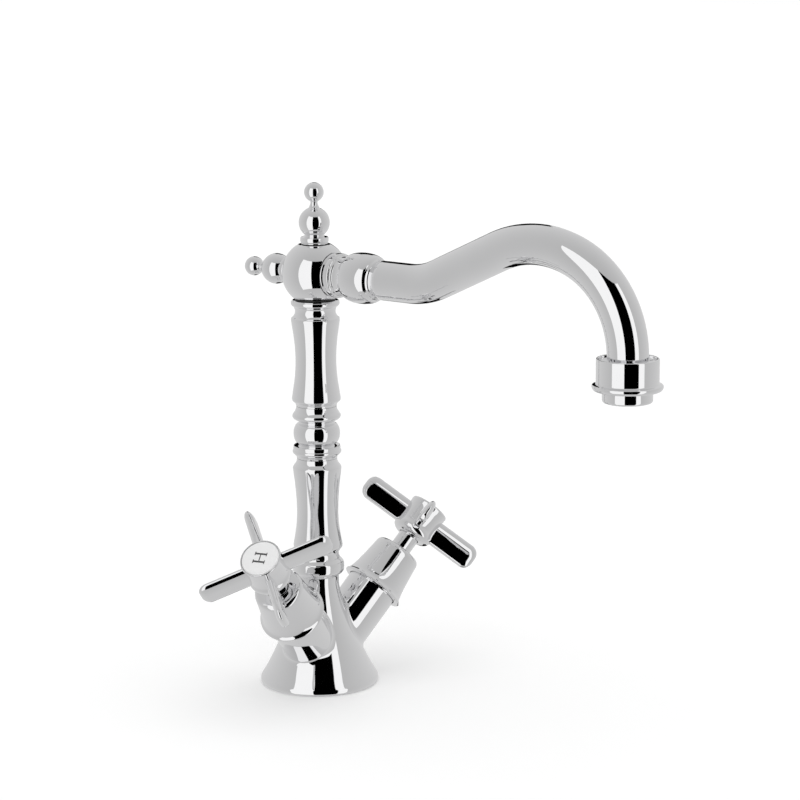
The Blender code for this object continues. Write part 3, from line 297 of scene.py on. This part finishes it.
def turned(profile, axis=Matrix.Identity(4), around=112):
    """A surface of revolution: each (radius, height) of the profile carried round the axis matrix's own Z."""
    angle = np.linspace(0, math.tau, around + 1)[:, None]
    radius, height = profile[None, :, 0] * MM, profile[None, :, 1] * MM
    local = np.stack(np.broadcast_arrays(radius * np.cos(angle), radius * np.sin(angle), height), axis=-1)
    turn = np.array(axis)
    return local @ turn[:3, :3].T + turn[:3, 3]


def fit(piece, material, body, slot, *nodes):
    """Gives a piece its material, the body that it moves with and the CAD nodes that it stands for."""
    piece.data.materials.clear()
    piece.data.materials.append(material)
    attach(piece, body)
    if nodes:
        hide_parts(*nodes)
    return piece


def cut_from(piece, *cutters):
    """Removes closed surfaces from a piece with exact Booleans, applies them, and marks the new edges sharp."""
    for cutter in cutters:
        modifier = piece.modifiers.new("cut", "BOOLEAN")
        modifier.operation = "DIFFERENCE"
        modifier.solver = "EXACT"
        modifier.object = cutter
    bpy.context.view_layer.update()
    mesh = bpy.data.meshes.new_from_object(piece.evaluated_get(bpy.context.evaluated_depsgraph_get()))
    piece.modifiers.clear()
    piece.data = mesh
    for cutter in cutters:
        bpy.data.objects.remove(cutter)
    mesh.polygons.foreach_set("use_smooth", np.ones(len(mesh.polygons), dtype=bool))
    mesh.set_sharp_from_angle(angle=math.radians(35))
    return piece


def cutter(radius, low, high):
    """The profile of a plain round cutter between two heights, in mm."""
    return np.array([(0, high), (radius, high), (radius, low), (0, low)])


def upright_axis(x, y):
    """A matrix for a vertical axis at x, y in mm."""
    return Matrix.Translation((x * MM, y * MM, 0))


def turning_joint(name):
    """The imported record's joint of that name."""
    return next(joint for joint in frame["joints"] if joint["name"] == name)


HANDLE_PLANE = 87.2


def valve_axis(side):
    """A matrix whose Z runs up a valve's axis from where it meets the pillar's axis, with X level."""
    joint = turning_joint(f"{side}_handle_turn")
    along = Vector(joint["axis"]).normalized()
    foot = Vector(joint["pos_m"]) - along * HANDLE_PLANE * MM
    across = Vector((0, 0, 1)).cross(Vector((along.x, along.y, 0))).normalized()
    turn = Matrix((across, along.cross(across), along)).transposed().to_4x4()
    return Matrix.Translation(foot) @ turn


SKIRT = [
    (0, 54.55, 0), (10.2, 54.55, 0.05), (10.2, 49.6, 2.0), (11.25, 44.6, 9), (14.35, 34.2, 9), (18.15, 25.0, 9),
    (22.3, 15.6, 9), (25.6, 9.0, 5), (28.9, 3.5, 0.5), (29.4, 2.6, 0.7), (29.4, 0.8, 0.6), (28.8, 0, 0.4),
    (25.5, 0, 0.1), (25.5, 2.3, 0.2), (22.0, 2.3, 0.2), (22.0, 0, 0.1), (20.3, 0, 0.2), (20.3, 6.0, 0.8),
    (15.5, 6.0, 0.8), (15.5, 0, 0.3), (0, 0, 0),
]
ARM_RADIUS, ARM_END, ARM_FILLET = 13.1, 47.0, 2.2
skirt_profile = eased(SKIRT)
SKIRT_OUTSIDE = skirt_profile[(skirt_profile[:, 1] > 2.6) & (skirt_profile[:, 0] > 10)][::-1]


def skirt_radius(height):
    """The skirt's radius in mm at heights in mm."""
    return np.interp(height, SKIRT_OUTSIDE[:, 1], SKIRT_OUTSIDE[:, 0])


def arm_surface(side, around=144):
    """A valve arm: a cylinder trimmed where it meets the skirt, with a filled corner. Each line along the arm is
    cut where its radius from the pillar's axis equals the skirt's, found by halving, and the corner is a parabola
    from the arm, through that point, to the skirt beside it."""
    axis = np.array(valve_axis(side))
    turn, foot, along = axis[:3, :3], axis[:3, 3] / MM, axis[:3, 2]
    angle = np.linspace(0, math.tau, around + 1)
    outward = np.cos(angle)[:, None] * turn[:, 0] + np.sin(angle)[:, None] * turn[:, 1]
    low, high = np.zeros(around + 1), np.full(around + 1, ARM_END)
    for _ in range(40):
        middle = (low + high) / 2
        point = foot + outward * ARM_RADIUS + middle[:, None] * along
        inside = np.hypot(point[:, 0], point[:, 1]) < skirt_radius(point[:, 2])
        low, high = np.where(inside, middle, low), np.where(inside, high, middle)
    corner = foot + outward * ARM_RADIUS + low[:, None] * along
    slope = (skirt_radius(corner[:, 2] + 0.2) - skirt_radius(corner[:, 2] - 0.2)) / 0.4
    level = corner[:, :2] / np.linalg.norm(corner[:, :2], axis=1, keepdims=True)
    normal = np.column_stack([level, -slope])
    normal /= np.linalg.norm(normal, axis=1, keepdims=True)
    aside = outward - (outward * normal).sum(1, keepdims=True) * normal
    aside /= np.linalg.norm(aside, axis=1, keepdims=True)
    start = corner + aside * ARM_FILLET
    level = start[:, :2] / np.linalg.norm(start[:, :2], axis=1, keepdims=True)
    start = np.column_stack([level * (skirt_radius(start[:, 2]) - 0.04)[:, None], start[:, 2]])
    end = corner + along * ARM_FILLET
    t = np.linspace(0, 1, 12)[None, :, None]
    curve = (1 - t) ** 2 * start[:, None] + 2 * t * (1 - t) * corner[:, None] + t**2 * end[:, None]
    reach = np.linspace(0, 1, 14)[None, 1:, None]
    rim = foot + outward * ARM_RADIUS + ARM_END * along
    run = end[:, None] * (1 - reach) + rim[:, None] * reach
    inner = (foot + outward * (ARM_RADIUS - 4) + ARM_END * along)[:, None]
    buried = (start - normal * 1.5)[:, None]
    return np.concatenate([buried, curve, run, inner], axis=1) * MM


casting = surface("casting_surface", turned(skirt_profile, around=160))
cut_from(
    casting,
    surface("hot_socket", turned(cutter(4.5, -2, 13), upright_axis(-7.5, -2.25), 48)),
    surface("cold_socket", turned(cutter(4.5, -2, 13), upright_axis(7.5, -2.25), 48)),
    surface("stud_socket", turned(cutter(3.4, -2, 12), upright_axis(0, 9.5), 48)),
)
fit(casting, chrome, "pillar", "chrome_plate", "body_casting")
for side in ("hot", "cold"):
    fit(surface(f"{side}_arm_surface", arm_surface(side)), chrome, "pillar", "chrome_plate")

# ---------------------------------------------------------------- base gasket
# A flat rubber ring pressed into a groove under the foot, level with the metal round it.

rubber = finish("moulded_rubber", (0.022, 0.022, 0.022), (0.035, 0.035, 0.034), 0.0, 0.55, 0.8, 300.0, 0.3, 900.0)
gasket = [(25.2, 2.0, 0.25), (25.2, 0, 0.25), (22.3, 0, 0.25), (22.3, 2.0, 0.25)]
fit(surface("gasket_ring", turned(eased(gasket, loop=True))), rubber, "pillar", "black_rubber", "base_gasket")

# ---------------------------------------------------------------- pillar
# Three turned brass lengths, each with a spigot in the next one's socket. Their profiles were cut
# in the lathe: waisted shafts between a ringed foot, a knop with a bead, and a shouldered head.

LOWER_SHAFT = [
    (0, 114.15, 0), (9.95, 114.15, 0.05), (10.05, 112.9, 0.6), (10.35, 111.9, 0.7), (11.35, 110.7, 0.7),
    (12.05, 109.6, 0.6), (11.9, 107.9, 1.5), (11.1, 101.8, 6), (10.5, 95.5, 6), (10.18, 87.5, 6),
    (10.4, 81.8, 6), (11.2, 75.8, 6), (12.2, 70.4, 0.6), (12.15, 69.2, 0.5), (10.55, 67.0, 1.0),
    (10.2, 65.7, 0.9), (10.7, 63.6, 1.2), (12.55, 61.7, 0.7), (12.8, 60.4, 0.8), (12.8, 57.4, 0.8),
    (12.3, 56.2, 0.7), (10.5, 55.1, 0.3), (10.3, 54.6, 0.1), (0, 54.6, 0),
]
bead_angle = np.radians(np.linspace(8, 172, 25))
KNOP_BEAD = np.column_stack([8.55 + 2.92 * np.sin(bead_angle), 126.6 + 5.25 * np.cos(bead_angle)])
KNOP_TOP = [
    (0, 140.35, 0), (9.98, 140.35, 0.05), (10.05, 139.2, 0.8), (10.6, 137.7, 1.2), (11.9, 136.0, 0.6),
    (11.95, 135.0, 0.5), (11.2, 133.9, 0.8), (8.8, 132.9, 0.7), (8.55, 132.0, 0.2),
]
KNOP_FOOT = [
    (8.55, 121.2, 0.2), (8.6, 120.2, 0.4), (9.7, 120.0, 0.6), (11.45, 120.6, 0.3), (11.7, 119.4, 0.6),
    (11.55, 118.7, 0.4), (12.05, 118.1, 0.4), (12.0, 117.1, 0.5), (11.2, 116.2, 0.8), (10.15, 115.3, 0.6),
    (10.0, 114.25, 0.05), (0, 114.25, 0),
]
UPPER_SHAFT = [
    (0, 193.1, 0), (11.2, 193.1, 0.4), (11.95, 192.3, 0.6), (11.9, 190.7, 0.7), (10.5, 189.7, 0.7),
    (9.9, 188.0, 1.0), (10.0, 186.4, 1.0), (10.9, 184.9, 0.5), (11.9, 184.1, 0.4), (11.95, 182.9, 0.6),
    (11.25, 178.2, 6), (10.55, 173.2, 6), (10.02, 167.0, 6), (9.98, 160.8, 6), (10.45, 154.3, 6),
    (11.3, 149.0, 6), (12.0, 144.3, 0.6), (11.95, 143.2, 0.5), (10.3, 141.8, 0.8), (10.0, 140.45, 0.05),
    (0, 140.45, 0),
]
knop_profile = np.concatenate([eased(KNOP_TOP)[:-1], KNOP_BEAD, eased(KNOP_FOOT)[1:]])
fit(surface("lower_shaft", turned(eased(LOWER_SHAFT))), chrome, "pillar", "chrome_plate", "lower_pillar")
fit(surface("knop", turned(knop_profile)), chrome, "pillar", "chrome_plate", "pillar_knop")
upper_shaft = surface("upper_shaft", turned(eased(UPPER_SHAFT)))
REAR_HOLE = Matrix.Translation((0, 0, 187.2 * MM)) @ Matrix.Rotation(-math.pi / 2, 4, "X")
cut_from(upper_shaft, surface("grub_hole", turned(cutter(1.7, 5, 14), REAR_HOLE, 40)))
fit(upper_shaft, chrome, "pillar", "chrome_plate", "upper_pillar")

# ---------------------------------------------------------------- retaining screw and slip washer
# A stainless grub screw at the rear runs in the spigot's groove and keeps the spout on.
# The ball turns on a thin black acetal washer, which shows as a dark line.

steel = finish("bright_stainless", (0.62, 0.62, 0.63), (0.52, 0.52, 0.53), 1.0, 0.16, 0.32, 400.0, 0.08, 900.0)
slip_acetal = finish("black_acetal", (0.02, 0.02, 0.02), (0.035, 0.035, 0.035), 0.0, 0.3, 0.5, 150.0, 0.05, 600.0)
GRUB = [(0, 8.6, 0), (0.7, 8.6, 0), (0.7, 9.8, 0.05), (1.4, 9.8, 0.15), (1.4, 7.0, 0.1), (0.7, 6.2, 0.1), (0, 6.2, 0)]
fit(surface("grub_screw", turned(eased(GRUB), REAR_HOLE, 36)), steel, "pillar", "stainless_steel", "retaining_screw")
WASHER = [(9.9, 194.15, 0.1), (9.9, 193.2, 0.1), (7.8, 193.2, 0.1), (7.8, 194.15, 0.1)]
fit(surface("slip_washer", turned(eased(WASHER, loop=True))), slip_acetal, "pillar", "black_acetal", "swivel_washer")

# ---------------------------------------------------------------- swivel spigot and its seals
# The brass spigot is screwed into the ball and hidden in the pillar, with two rubber rings.
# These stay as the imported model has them, in their own metal and rubber.

brass = finish("turned_brass", (0.78, 0.60, 0.31), (0.66, 0.49, 0.24), 1.0, 0.18, 0.36, 120.0, 0.10, 700.0, (1, 1, 6))


def dress(material, *nodes):
    """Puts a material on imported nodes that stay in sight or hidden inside."""
    for node in nodes:
        mesh = frame["nodes"][node].data
        mesh.materials.clear()
        mesh.materials.append(material)


dress(brass, "swivel_spigot")
dress(rubber, "swivel_o_ring_1", "swivel_o_ring_2", "union_o_ring", "aerator_washer")

# ---------------------------------------------------------------- ball
# A turned brass ball, flat under the washer, at the finials' seats and at the union's seat.

BALL_RADIUS, BALL_HEIGHT, BALL_FOOT = 16.15, 206.3, 194.2
SEAT_FLAT, UNION_SEAT = 14.1, 11.9
top_angle = math.acos(SEAT_FLAT / BALL_RADIUS)
foot_angle = math.acos((BALL_FOOT - BALL_HEIGHT) / BALL_RADIUS)
sweep = np.linspace(top_angle, foot_angle, 90)
BALL = np.column_stack([BALL_RADIUS * np.sin(sweep), BALL_HEIGHT + BALL_RADIUS * np.cos(sweep)])
BALL = np.concatenate([[(0, BALL_HEIGHT + SEAT_FLAT)], BALL, [(0, BALL_FOOT)]])
ball = surface("ball", turned(BALL, around=160))
FRONT = Matrix.Translation((0, 0, BALL_HEIGHT * MM)) @ Matrix.Rotation(math.pi / 2, 4, "X")
REAR = Matrix.Translation((0, 0, BALL_HEIGHT * MM)) @ Matrix.Rotation(-math.pi / 2, 4, "X")
cut_from(
    ball,
    surface("union_seat", turned(cutter(14, UNION_SEAT, 18), FRONT, 96)),
    surface("rear_seat", turned(cutter(12, SEAT_FLAT, 18), REAR, 96)),
)
ball.data.set_sharp_from_angle(angle=math.radians(20))
fit(ball, chrome, "spout", "chrome_plate", "ball_hub")

# ---------------------------------------------------------------- finials
# Two equal finials turned from bar, one screwed in the top and one in the rear:
# a thin collar, a neck, a large ball, a slender neck and a small ball.


def sphere_run(radius, centre, start, end, count):
    """Profile points of a ball, by angle in degrees from its top."""
    sweep = np.radians(np.linspace(start, end, count))
    return np.column_stack([radius * np.sin(sweep), centre + radius * np.cos(sweep)])


small_ball = sphere_run(4.75, 39.5, 0, 151, 34)
slender_neck = eased([(*small_ball[-1], 0), (1.72, 34.9, 0.9), (1.72, 33.6, 0.9), (2.85, 31.75, 0)], 9)[1:-1]
large_ball = sphere_run(7.56, 24.7, 20.5, 140, 44)
collar_rows = [
    (*large_ball[-1], 0), (4.65, 18.3, 0.4), (5.5, 17.95, 0.5), (6.75, 17.6, 0.3), (6.95, 17.0, 0.4),
    (6.9, 15.6, 0.4), (6.55, 15.0, 0.3), (6.45, 14.4, 0.1), (0, 14.4, 0),
]
FINIAL = np.concatenate([small_ball, slender_neck, large_ball, eased(collar_rows)[1:]])
TOP = Matrix.Translation((0, 0, BALL_HEIGHT * MM))
fit(surface("finial_top", turned(FINIAL, TOP)), chrome, "spout", "chrome_plate", "top_finial")
fit(surface("finial_rear", turned(FINIAL, REAR)), chrome, "spout", "chrome_plate", "rear_finial")

# ---------------------------------------------------------------- spout union
# A turned union screwed into the ball: a flange against the seat, a neck,
# and a long bead that holds the tube.

bulge = np.radians(np.linspace(4, 172, 30))
UNION_BEAD = np.column_stack([9.55 + 2.85 * np.sin(bulge), 30.9 - 8.6 * np.cos(bulge)])
UNION_FLANGE = [
    (0, 12.2, 0), (10.6, 12.2, 0.1), (10.55, 12.6, 0.4), (9.75, 13.55, 0.3), (10.1, 13.8, 0.15), (10.7, 13.95, 0.3),
    (10.95, 15.2, 0.9), (10.8, 17.0, 0.5), (10.0, 17.4, 0.3), (9.95, 18.2, 0.3), (9.5, 18.6, 0.3), (9.45, 20.6, 0.8),
    (9.7, 21.9, 0.3), (9.75, 22.32, 0.1),
]
union_profile = np.concatenate([eased(UNION_FLANGE), UNION_BEAD, [(9.6, 40.2), (9.52, 41.0), (0, 41.0)]])
fit(surface("union_turning", turned(union_profile, FRONT)), chrome, "spout", "chrome_plate", "spout_union")

# ---------------------------------------------------------------- spout tube
# Drawn brass tube, 19 mm across, bent on a mandrel in one plane: a rise,
# a long crest and a fall to vertical.

TUBE_RADIUS, TUBE_BORE = 9.5, 8.1
TUBE_START, FIRST_BEND, DROP_END = 41.3, 60.3, 175.6
BENDS = [(39.8, 24.8, 38.2), (54.7, -46.7, 0.0), (46.4, -68.1, 0.0)]


def spout_line():
    """The centreline as (forward, height, heading) rows: straight runs, and arcs whose points are the arc's centre
    plus its radius along the turned heading."""
    forward, height, heading = FIRST_BEND, BALL_HEIGHT, 0.0
    rows = [np.column_stack([np.linspace(TUBE_START, FIRST_BEND, 6), np.full(6, height), np.zeros(6)])]
    for radius, degrees, run in BENDS:
        side = math.copysign(1, degrees)
        angle = heading + np.radians(np.linspace(0, degrees, max(12, int(abs(degrees)) + 1)))[1:]
        centre = (forward - side * radius * math.sin(heading), height + side * radius * math.cos(heading))
        rows.append(np.column_stack(
            [centre[0] + side * radius * np.sin(angle), centre[1] - side * radius * np.cos(angle), angle]
        ))
        forward, height, heading = rows[-1][-1]
        if run:
            step = np.linspace(0, run, 6)[1:]
            rows.append(np.column_stack(
                [forward + step * math.cos(heading), height + step * math.sin(heading), np.full(5, heading)]
            ))
            forward, height, heading = rows[-1][-1]
    drop = np.linspace(height, DROP_END, 5)[1:]
    rows.append(np.column_stack([np.full(4, forward), drop, np.full(4, heading)]))
    return np.concatenate(rows)


SPOUT_LINE = spout_line()
SPOUT_REACH = SPOUT_LINE[-1, 0]


def tube_surface(radii, line, around=96):
    """A circle carried square to the centreline: point plus radius times (cos across, sin along the upward normal).
    Each row of radii gives one end cap or wall."""
    angle = np.linspace(0, math.tau, around + 1)[:, None]
    forward, height, heading = line[None, :, 0], line[None, :, 1], line[None, :, 2]
    out, up = radii * np.cos(angle), radii * np.sin(angle)
    x = np.broadcast_to(out, (around + 1, line.shape[0]))
    y = -(forward - up * np.sin(heading))
    z = height + up * np.cos(heading)
    return np.stack(np.broadcast_arrays(x, y, z), axis=-1) * MM


outside = tube_surface(np.full(len(SPOUT_LINE), TUBE_RADIUS)[None, :], SPOUT_LINE)
inside = tube_surface(np.full(len(SPOUT_LINE), TUBE_BORE)[None, :], SPOUT_LINE)[:, ::-1]
fit(
    surface("bent_tube", np.concatenate([outside, inside, outside[:, :1]], axis=1)),
    chrome, "spout", "chrome_plate", "spout_tube",
)

# ---------------------------------------------------------------- outlet collar and aerator
# A dished collar brazed on the tube's end with a rounded flange round its foot, and the aerator's
# chromed ring screwed up inside it, over a moulded insert and a steel mesh.

OUTLET = upright_axis(0, -SPOUT_REACH)
COLLAR = [
    (13.3, 183.8, 0.3), (14.3, 183.8, 0.7), (14.3, 172.4, 0.5), (15.2, 172.05, 0.3), (16.15, 171.7, 0.5),
    (16.2, 170.5, 0.9), (15.4, 169.25, 0.6), (14.2, 169.2, 0.3), (12.2, 169.2, 0.1), (12.2, 174.9, 0.1),
    (8.1, 174.9, 0.1), (8.1, 175.3, 0.1), (9.8, 175.3, 0.1), (9.65, 180.9, 0.2), (11.6, 180.3, 1.4),
    (13.2, 181.8, 1.4),
]
collar = surface("collar_turning", turned(eased(COLLAR, loop=True), OUTLET))
fit(collar, chrome, "spout", "chrome_plate", "outlet_collar")
AERATOR_RING = [
    (11.9, 173.1, 0.1), (11.9, 169.1, 0.1), (11.5, 169.0, 0.1), (11.5, 164.5, 0.5), (10.9, 163.8, 0.3),
    (8.9, 163.8, 0.3), (8.8, 165.1, 0.1), (10.0, 165.1, 0.1), (10.0, 173.1, 0.1),
]
fit(
    surface("aerator_ring", turned(eased(AERATOR_RING, loop=True), OUTLET)),
    chrome, "spout", "chrome_plate", "aerator_housing",
)
acetal = finish("white_acetal", (0.80, 0.80, 0.78), (0.74, 0.74, 0.71), 0.0, 0.35, 0.55, 150.0, 0.05, 600.0)
dress(acetal, "aerator_cartridge")
MESH_RADIUS, MESH_WIRE, MESH_PITCH, MESH_HEIGHT, MESH_LIFT = 7.7, 0.16, 1.1, 165.85, 0.14
MESH_SIDE = int(MESH_RADIUS // MESH_PITCH)


def mesh_wire(offset, lengthwise):
    """One wire of the screen: a thin bar across a circle of the mesh's radius, woven over and under by a cosine."""
    half = math.sqrt(MESH_RADIUS**2 - offset**2)
    along = np.linspace(-half, half, 41)
    over = 1 if lengthwise else -1
    lift = MESH_LIFT * np.cos(math.pi * along / MESH_PITCH + math.pi * round(offset / MESH_PITCH)) * over
    angle = np.linspace(0, math.tau, 7)[:, None]
    across = offset + MESH_WIRE * np.cos(angle)
    height = MESH_HEIGHT + lift[None, :] + MESH_WIRE * np.sin(angle)
    run = np.broadcast_to(along[None, :], height.shape)
    across = np.broadcast_to(across, height.shape)
    x, y = (run, across) if lengthwise else (across, run)
    grid = np.stack([x, y - SPOUT_REACH, height], axis=-1) * MM
    ends = grid.mean(axis=0, keepdims=True)
    first, last = np.broadcast_to(ends[:, :1], (7, 1, 3)), np.broadcast_to(ends[:, -1:], (7, 1, 3))
    return np.concatenate([first, grid, last], axis=1)


screen_rim = eased([(7.8, 166.15, 0.1), (7.8, 165.55, 0.1), (7.2, 165.55, 0.1), (7.2, 166.15, 0.1)], loop=True)
wires = [mesh_wire(i * MESH_PITCH, way) for i in range(1 - MESH_SIDE, MESH_SIDE) for way in (True, False)]
fit(
    surface("screen", turned(screen_rim, OUTLET, 64), *wires),
    steel, "spout", "stainless_steel", "aerator_mesh",
)

# ---------------------------------------------------------------- valve bells
# Each bell is spun brass, chromed, with a rounded shoulder, a slow flare and a thin turned-out lip.
# It screws on the headwork and covers it.

BELL = [
    (5.6, 69.2, 0.2), (11.9, 69.2, 2.6), (12.4, 64.2, 3.0), (13.3, 56.5, 6), (14.2, 50.8, 5), (15.0, 47.6, 1.2),
    (16.1, 46.3, 0.4), (16.3, 45.7, 0.25), (15.9, 45.3, 0.2), (13.4, 45.3, 0.1), (13.4, 47.3, 0.1), (12.4, 48.5, 0.3),
    (11.0, 59.0, 1), (8.8, 60.0, 0.2), (8.8, 66.3, 0.1), (5.6, 66.3, 0.1),
]
for side in ("hot", "cold"):
    bell = surface(f"{side}_bell", turned(eased(BELL, loop=True), valve_axis(side)))
    fit(bell, chrome, "pillar", "chrome_plate", f"{side}_valve_bell")

# ---------------------------------------------------------------- headworks and discs
# Hidden under the bells: brass headworks on fibre washers, rubber seats and lapped ceramic discs.

FIBRE_GRAIN = (1, 1, 4)
fibre = finish("pressed_fibre", (0.45, 0.13, 0.08), (0.33, 0.08, 0.05), 0.0, 0.75, 0.95, 250.0, 0.3, 1200.0, FIBRE_GRAIN)
ceramic = finish("lapped_ceramic", (0.90, 0.88, 0.83), (0.86, 0.84, 0.78), 0.0, 0.15, 0.3, 200.0, 0.02, 900.0)
for side in ("hot", "cold"):
    dress(brass, f"{side}_headwork_body")
    dress(fibre, f"{side}_headwork_washer")
    dress(rubber, f"{side}_seat_seal", f"{side}_spindle_o_ring")
    dress(ceramic, f"{side}_fixed_disc", f"{side}_moving_disc")

# ---------------------------------------------------------------- spindles
# Chromed brass spindles, bare between the bell and the handle.

SPINDLE = [
    (0, 77.7, 0), (2.0, 77.7, 0.1), (2.0, 89.8, 0.1), (4.0, 89.8, 0.3), (4.0, 80.5, 0.1), (5.3, 80.5, 0.2),
    (5.3, 56.75, 0.1), (4.2, 56.75, 0.1), (4.2, 55.25, 0.1), (5.3, 55.25, 0.1), (5.3, 41.0, 0.1),
    (6.4, 41.0, 0.1), (6.4, 39.8, 0.1), (0, 39.8, 0),
]
for side in ("hot", "cold"):
    stem = surface(f"{side}_stem", turned(eased(SPINDLE), valve_axis(side), 72))
    fit(stem, chrome, f"{side}_handle", "chrome_plate", f"{side}_spindle")

# ---------------------------------------------------------------- cross handles
# Each handle is one chromed casting: a turned hub with four flat paddle arms, whose outlines have
# rounded ends and whose edges are rounded over. The hub is bored for the spindle and recessed for the cap.

REST_TURN = {"hot": 32.7, "cold": 55.1}
HUB_LOW, HUB_HIGH = HANDLE_PLANE - 9.4, HANDLE_PLANE + 9.2
HUB = [
    (9.5, HUB_HIGH, 0.1), (9.85, HUB_HIGH, 0.1), (10.15, HUB_HIGH - 0.6, 0.4), (9.9, HUB_HIGH - 3.2, 1.0),
    (9.75, HANDLE_PLANE, 2.0), (9.9, HANDLE_PLANE - 3.4, 1.0), (10.55, HANDLE_PLANE - 4.8, 0.6),
    (10.75, HANDLE_PLANE - 6.0, 0.8), (10.3, HANDLE_PLANE - 7.6, 0.9), (8.6, HANDLE_PLANE - 9.0, 0.8),
    (7.0, HUB_LOW, 0.3), (5.6, HUB_LOW, 0.2), (5.6, HUB_LOW + 3.0, 0.1), (4.3, HUB_LOW + 3.0, 0.1),
    (4.3, 90.1, 0.1), (2.2, 90.1, 0.1), (2.2, 91.9, 0.1), (4.2, 91.9, 0.1), (4.2, 94.5, 0.1), (9.5, 94.5, 0.1),
]
PADDLE_START, PADDLE_REACH, PADDLE_HEIGHT, PADDLE_HALF = 7.6, 33.9, 6.3, 2.42
PADDLE_CORNER, PADDLE_TIP_ROUND, PADDLE_FOOT_SHARPNESS = 4.9, 4.2, 5.0


def paddle_surface(side, quarter):
    """One arm, by stations x from the hub to the tip. Its half height h is H, and R (1 - sqrt(1 - u^2)) less round the
    corner. Its half thickness is T, and T sqrt(1 - v^2) near the tip. Its section is the ellipse (T sin q, h cos q)
    above the middle, and a squarer superellipse below it."""
    ramp = np.sin(np.linspace(0, math.pi / 2, 30))
    bend = max(PADDLE_CORNER, PADDLE_TIP_ROUND)
    x = np.concatenate([np.linspace(PADDLE_START, PADDLE_REACH - bend, 12)[:-1], PADDLE_REACH - bend + bend * ramp])
    into_corner = np.clip((x - PADDLE_REACH + PADDLE_CORNER) / PADDLE_CORNER, 0, 1)
    into_tip = np.clip((x - PADDLE_REACH + PADDLE_TIP_ROUND) / PADDLE_TIP_ROUND, 0, 1)
    height = PADDLE_HEIGHT - PADDLE_CORNER * (1 - np.sqrt(1 - into_corner**2))
    thick = PADDLE_HALF * np.sqrt(1 - into_tip**2)
    angle = np.linspace(0, math.tau, 97)
    power = np.where(np.cos(angle) < 0, 2 / PADDLE_FOOT_SHARPNESS, 1.0)
    across = np.sign(np.sin(angle)) * np.abs(np.sin(angle)) ** power
    upward = np.sign(np.cos(angle)) * np.abs(np.cos(angle)) ** power
    ring = np.stack(np.broadcast_arrays(x[:, None], thick[:, None] * across, height[:, None] * upward), axis=-1)
    root = np.broadcast_to(np.array((PADDLE_START, 0, 0)), (1, len(angle), 3))
    grid = np.concatenate([root, ring], axis=0)
    turn_in_plane = math.radians(REST_TURN[side] + 90 * quarter)
    radial = np.array((math.cos(turn_in_plane), math.sin(turn_in_plane), 0))
    sideways = np.array((-math.sin(turn_in_plane), math.cos(turn_in_plane), 0))
    local = grid[..., :1] * radial + grid[..., 1:2] * sideways + (grid[..., 2:] + HANDLE_PLANE) * np.array((0, 0, 1))
    turn = np.array(valve_axis(side))
    return (local * MM) @ turn[:3, :3].T + turn[:3, 3]


for side in ("hot", "cold"):
    hub = turned(eased(HUB, loop=True), valve_axis(side))
    paddles = [paddle_surface(side, quarter) for quarter in range(4)]
    cross = surface(f"{side}_cross", hub, *paddles)
    fit(cross, chrome, f"{side}_handle", "chrome_plate", f"{side}_cross_handle")
    dress(steel, f"{side}_handle_screw")

# ---------------------------------------------------------------- index caps
# Enamelled brass discs, pressed into the hubs over the screws: pale, slightly domed,
# with a plain dark letter, H for hot and C for cold.

enamel = finish("index_enamel", (0.90, 0.90, 0.90), (0.86, 0.86, 0.86), 0.0, 0.08, 0.2, 80.0, 0.02, 300.0, coat=0.6)
ink = finish("letter_ink", (0.05, 0.05, 0.05), (0.09, 0.09, 0.09), 0.0, 0.3, 0.5, 300.0, 0.05, 900.0)
CAP_TOP = HANDLE_PLANE + 9.5
CAP = [
    (0, CAP_TOP, 0), (6.0, CAP_TOP - 0.08, 3), (8.7, CAP_TOP - 0.25, 0.3), (9.42, CAP_TOP - 0.7, 0.2),
    (9.42, CAP_TOP - 1.9, 0.1), (0, CAP_TOP - 1.9, 0),
]
LETTER_TURN = Matrix.Rotation(math.radians(90), 4, "Z")
LETTER_LIFT = 0.02


def bar(low, high):
    """A flat stroke of a letter between two corners in mm, as a 2 x 2 grid."""
    x, y = np.meshgrid((low[0], high[0]), (low[1], high[1]), indexing="ij")
    return np.stack([x, y], axis=-1)


def letter_h():
    """Two stems, a cross bar and four foot bars."""
    strokes = [bar((-2.6, -2.9), (-1.7, 2.9)), bar((1.7, -2.9), (2.6, 2.9)), bar((-1.7, -0.25), (1.7, 0.25))]
    strokes += [bar((x - 1.0, y - 0.2), (x + 1.0, y + 0.2)) for x in (-2.15, 2.15) for y in (-2.9, 2.9)]
    return strokes


def letter_c():
    """An open ring: radius 2.9, its stroke widest at the back, from 48 to 312 degrees."""
    angle = np.radians(np.linspace(48, 312, 49))[:, None]
    inner = 2.45 - 0.4 * np.sin(angle / 2) ** 2
    radius = np.concatenate([inner, np.full_like(angle, 2.95)], axis=1)
    return [np.stack([radius * np.cos(angle), radius * np.sin(angle)], axis=-1)]


for side, strokes in (("hot", letter_h()), ("cold", letter_c())):
    axis = valve_axis(side)
    cap = surface(f"{side}_cap", turned(eased(CAP), axis))
    fit(cap, enamel, f"{side}_handle", "white_enamel", f"{side}_index_cap")
    turn = np.array(axis @ LETTER_TURN)
    lifted = []
    for stroke in strokes:
        height = np.full((*stroke.shape[:2], 1), CAP_TOP + LETTER_LIFT)
        lifted.append((np.concatenate([stroke, height], axis=-1) * MM) @ turn[:3, :3].T + turn[:3, 3])
    letter = surface(f"{side}_letter", *lifted)
    fit(letter, ink, f"{side}_handle", "black_rubber")
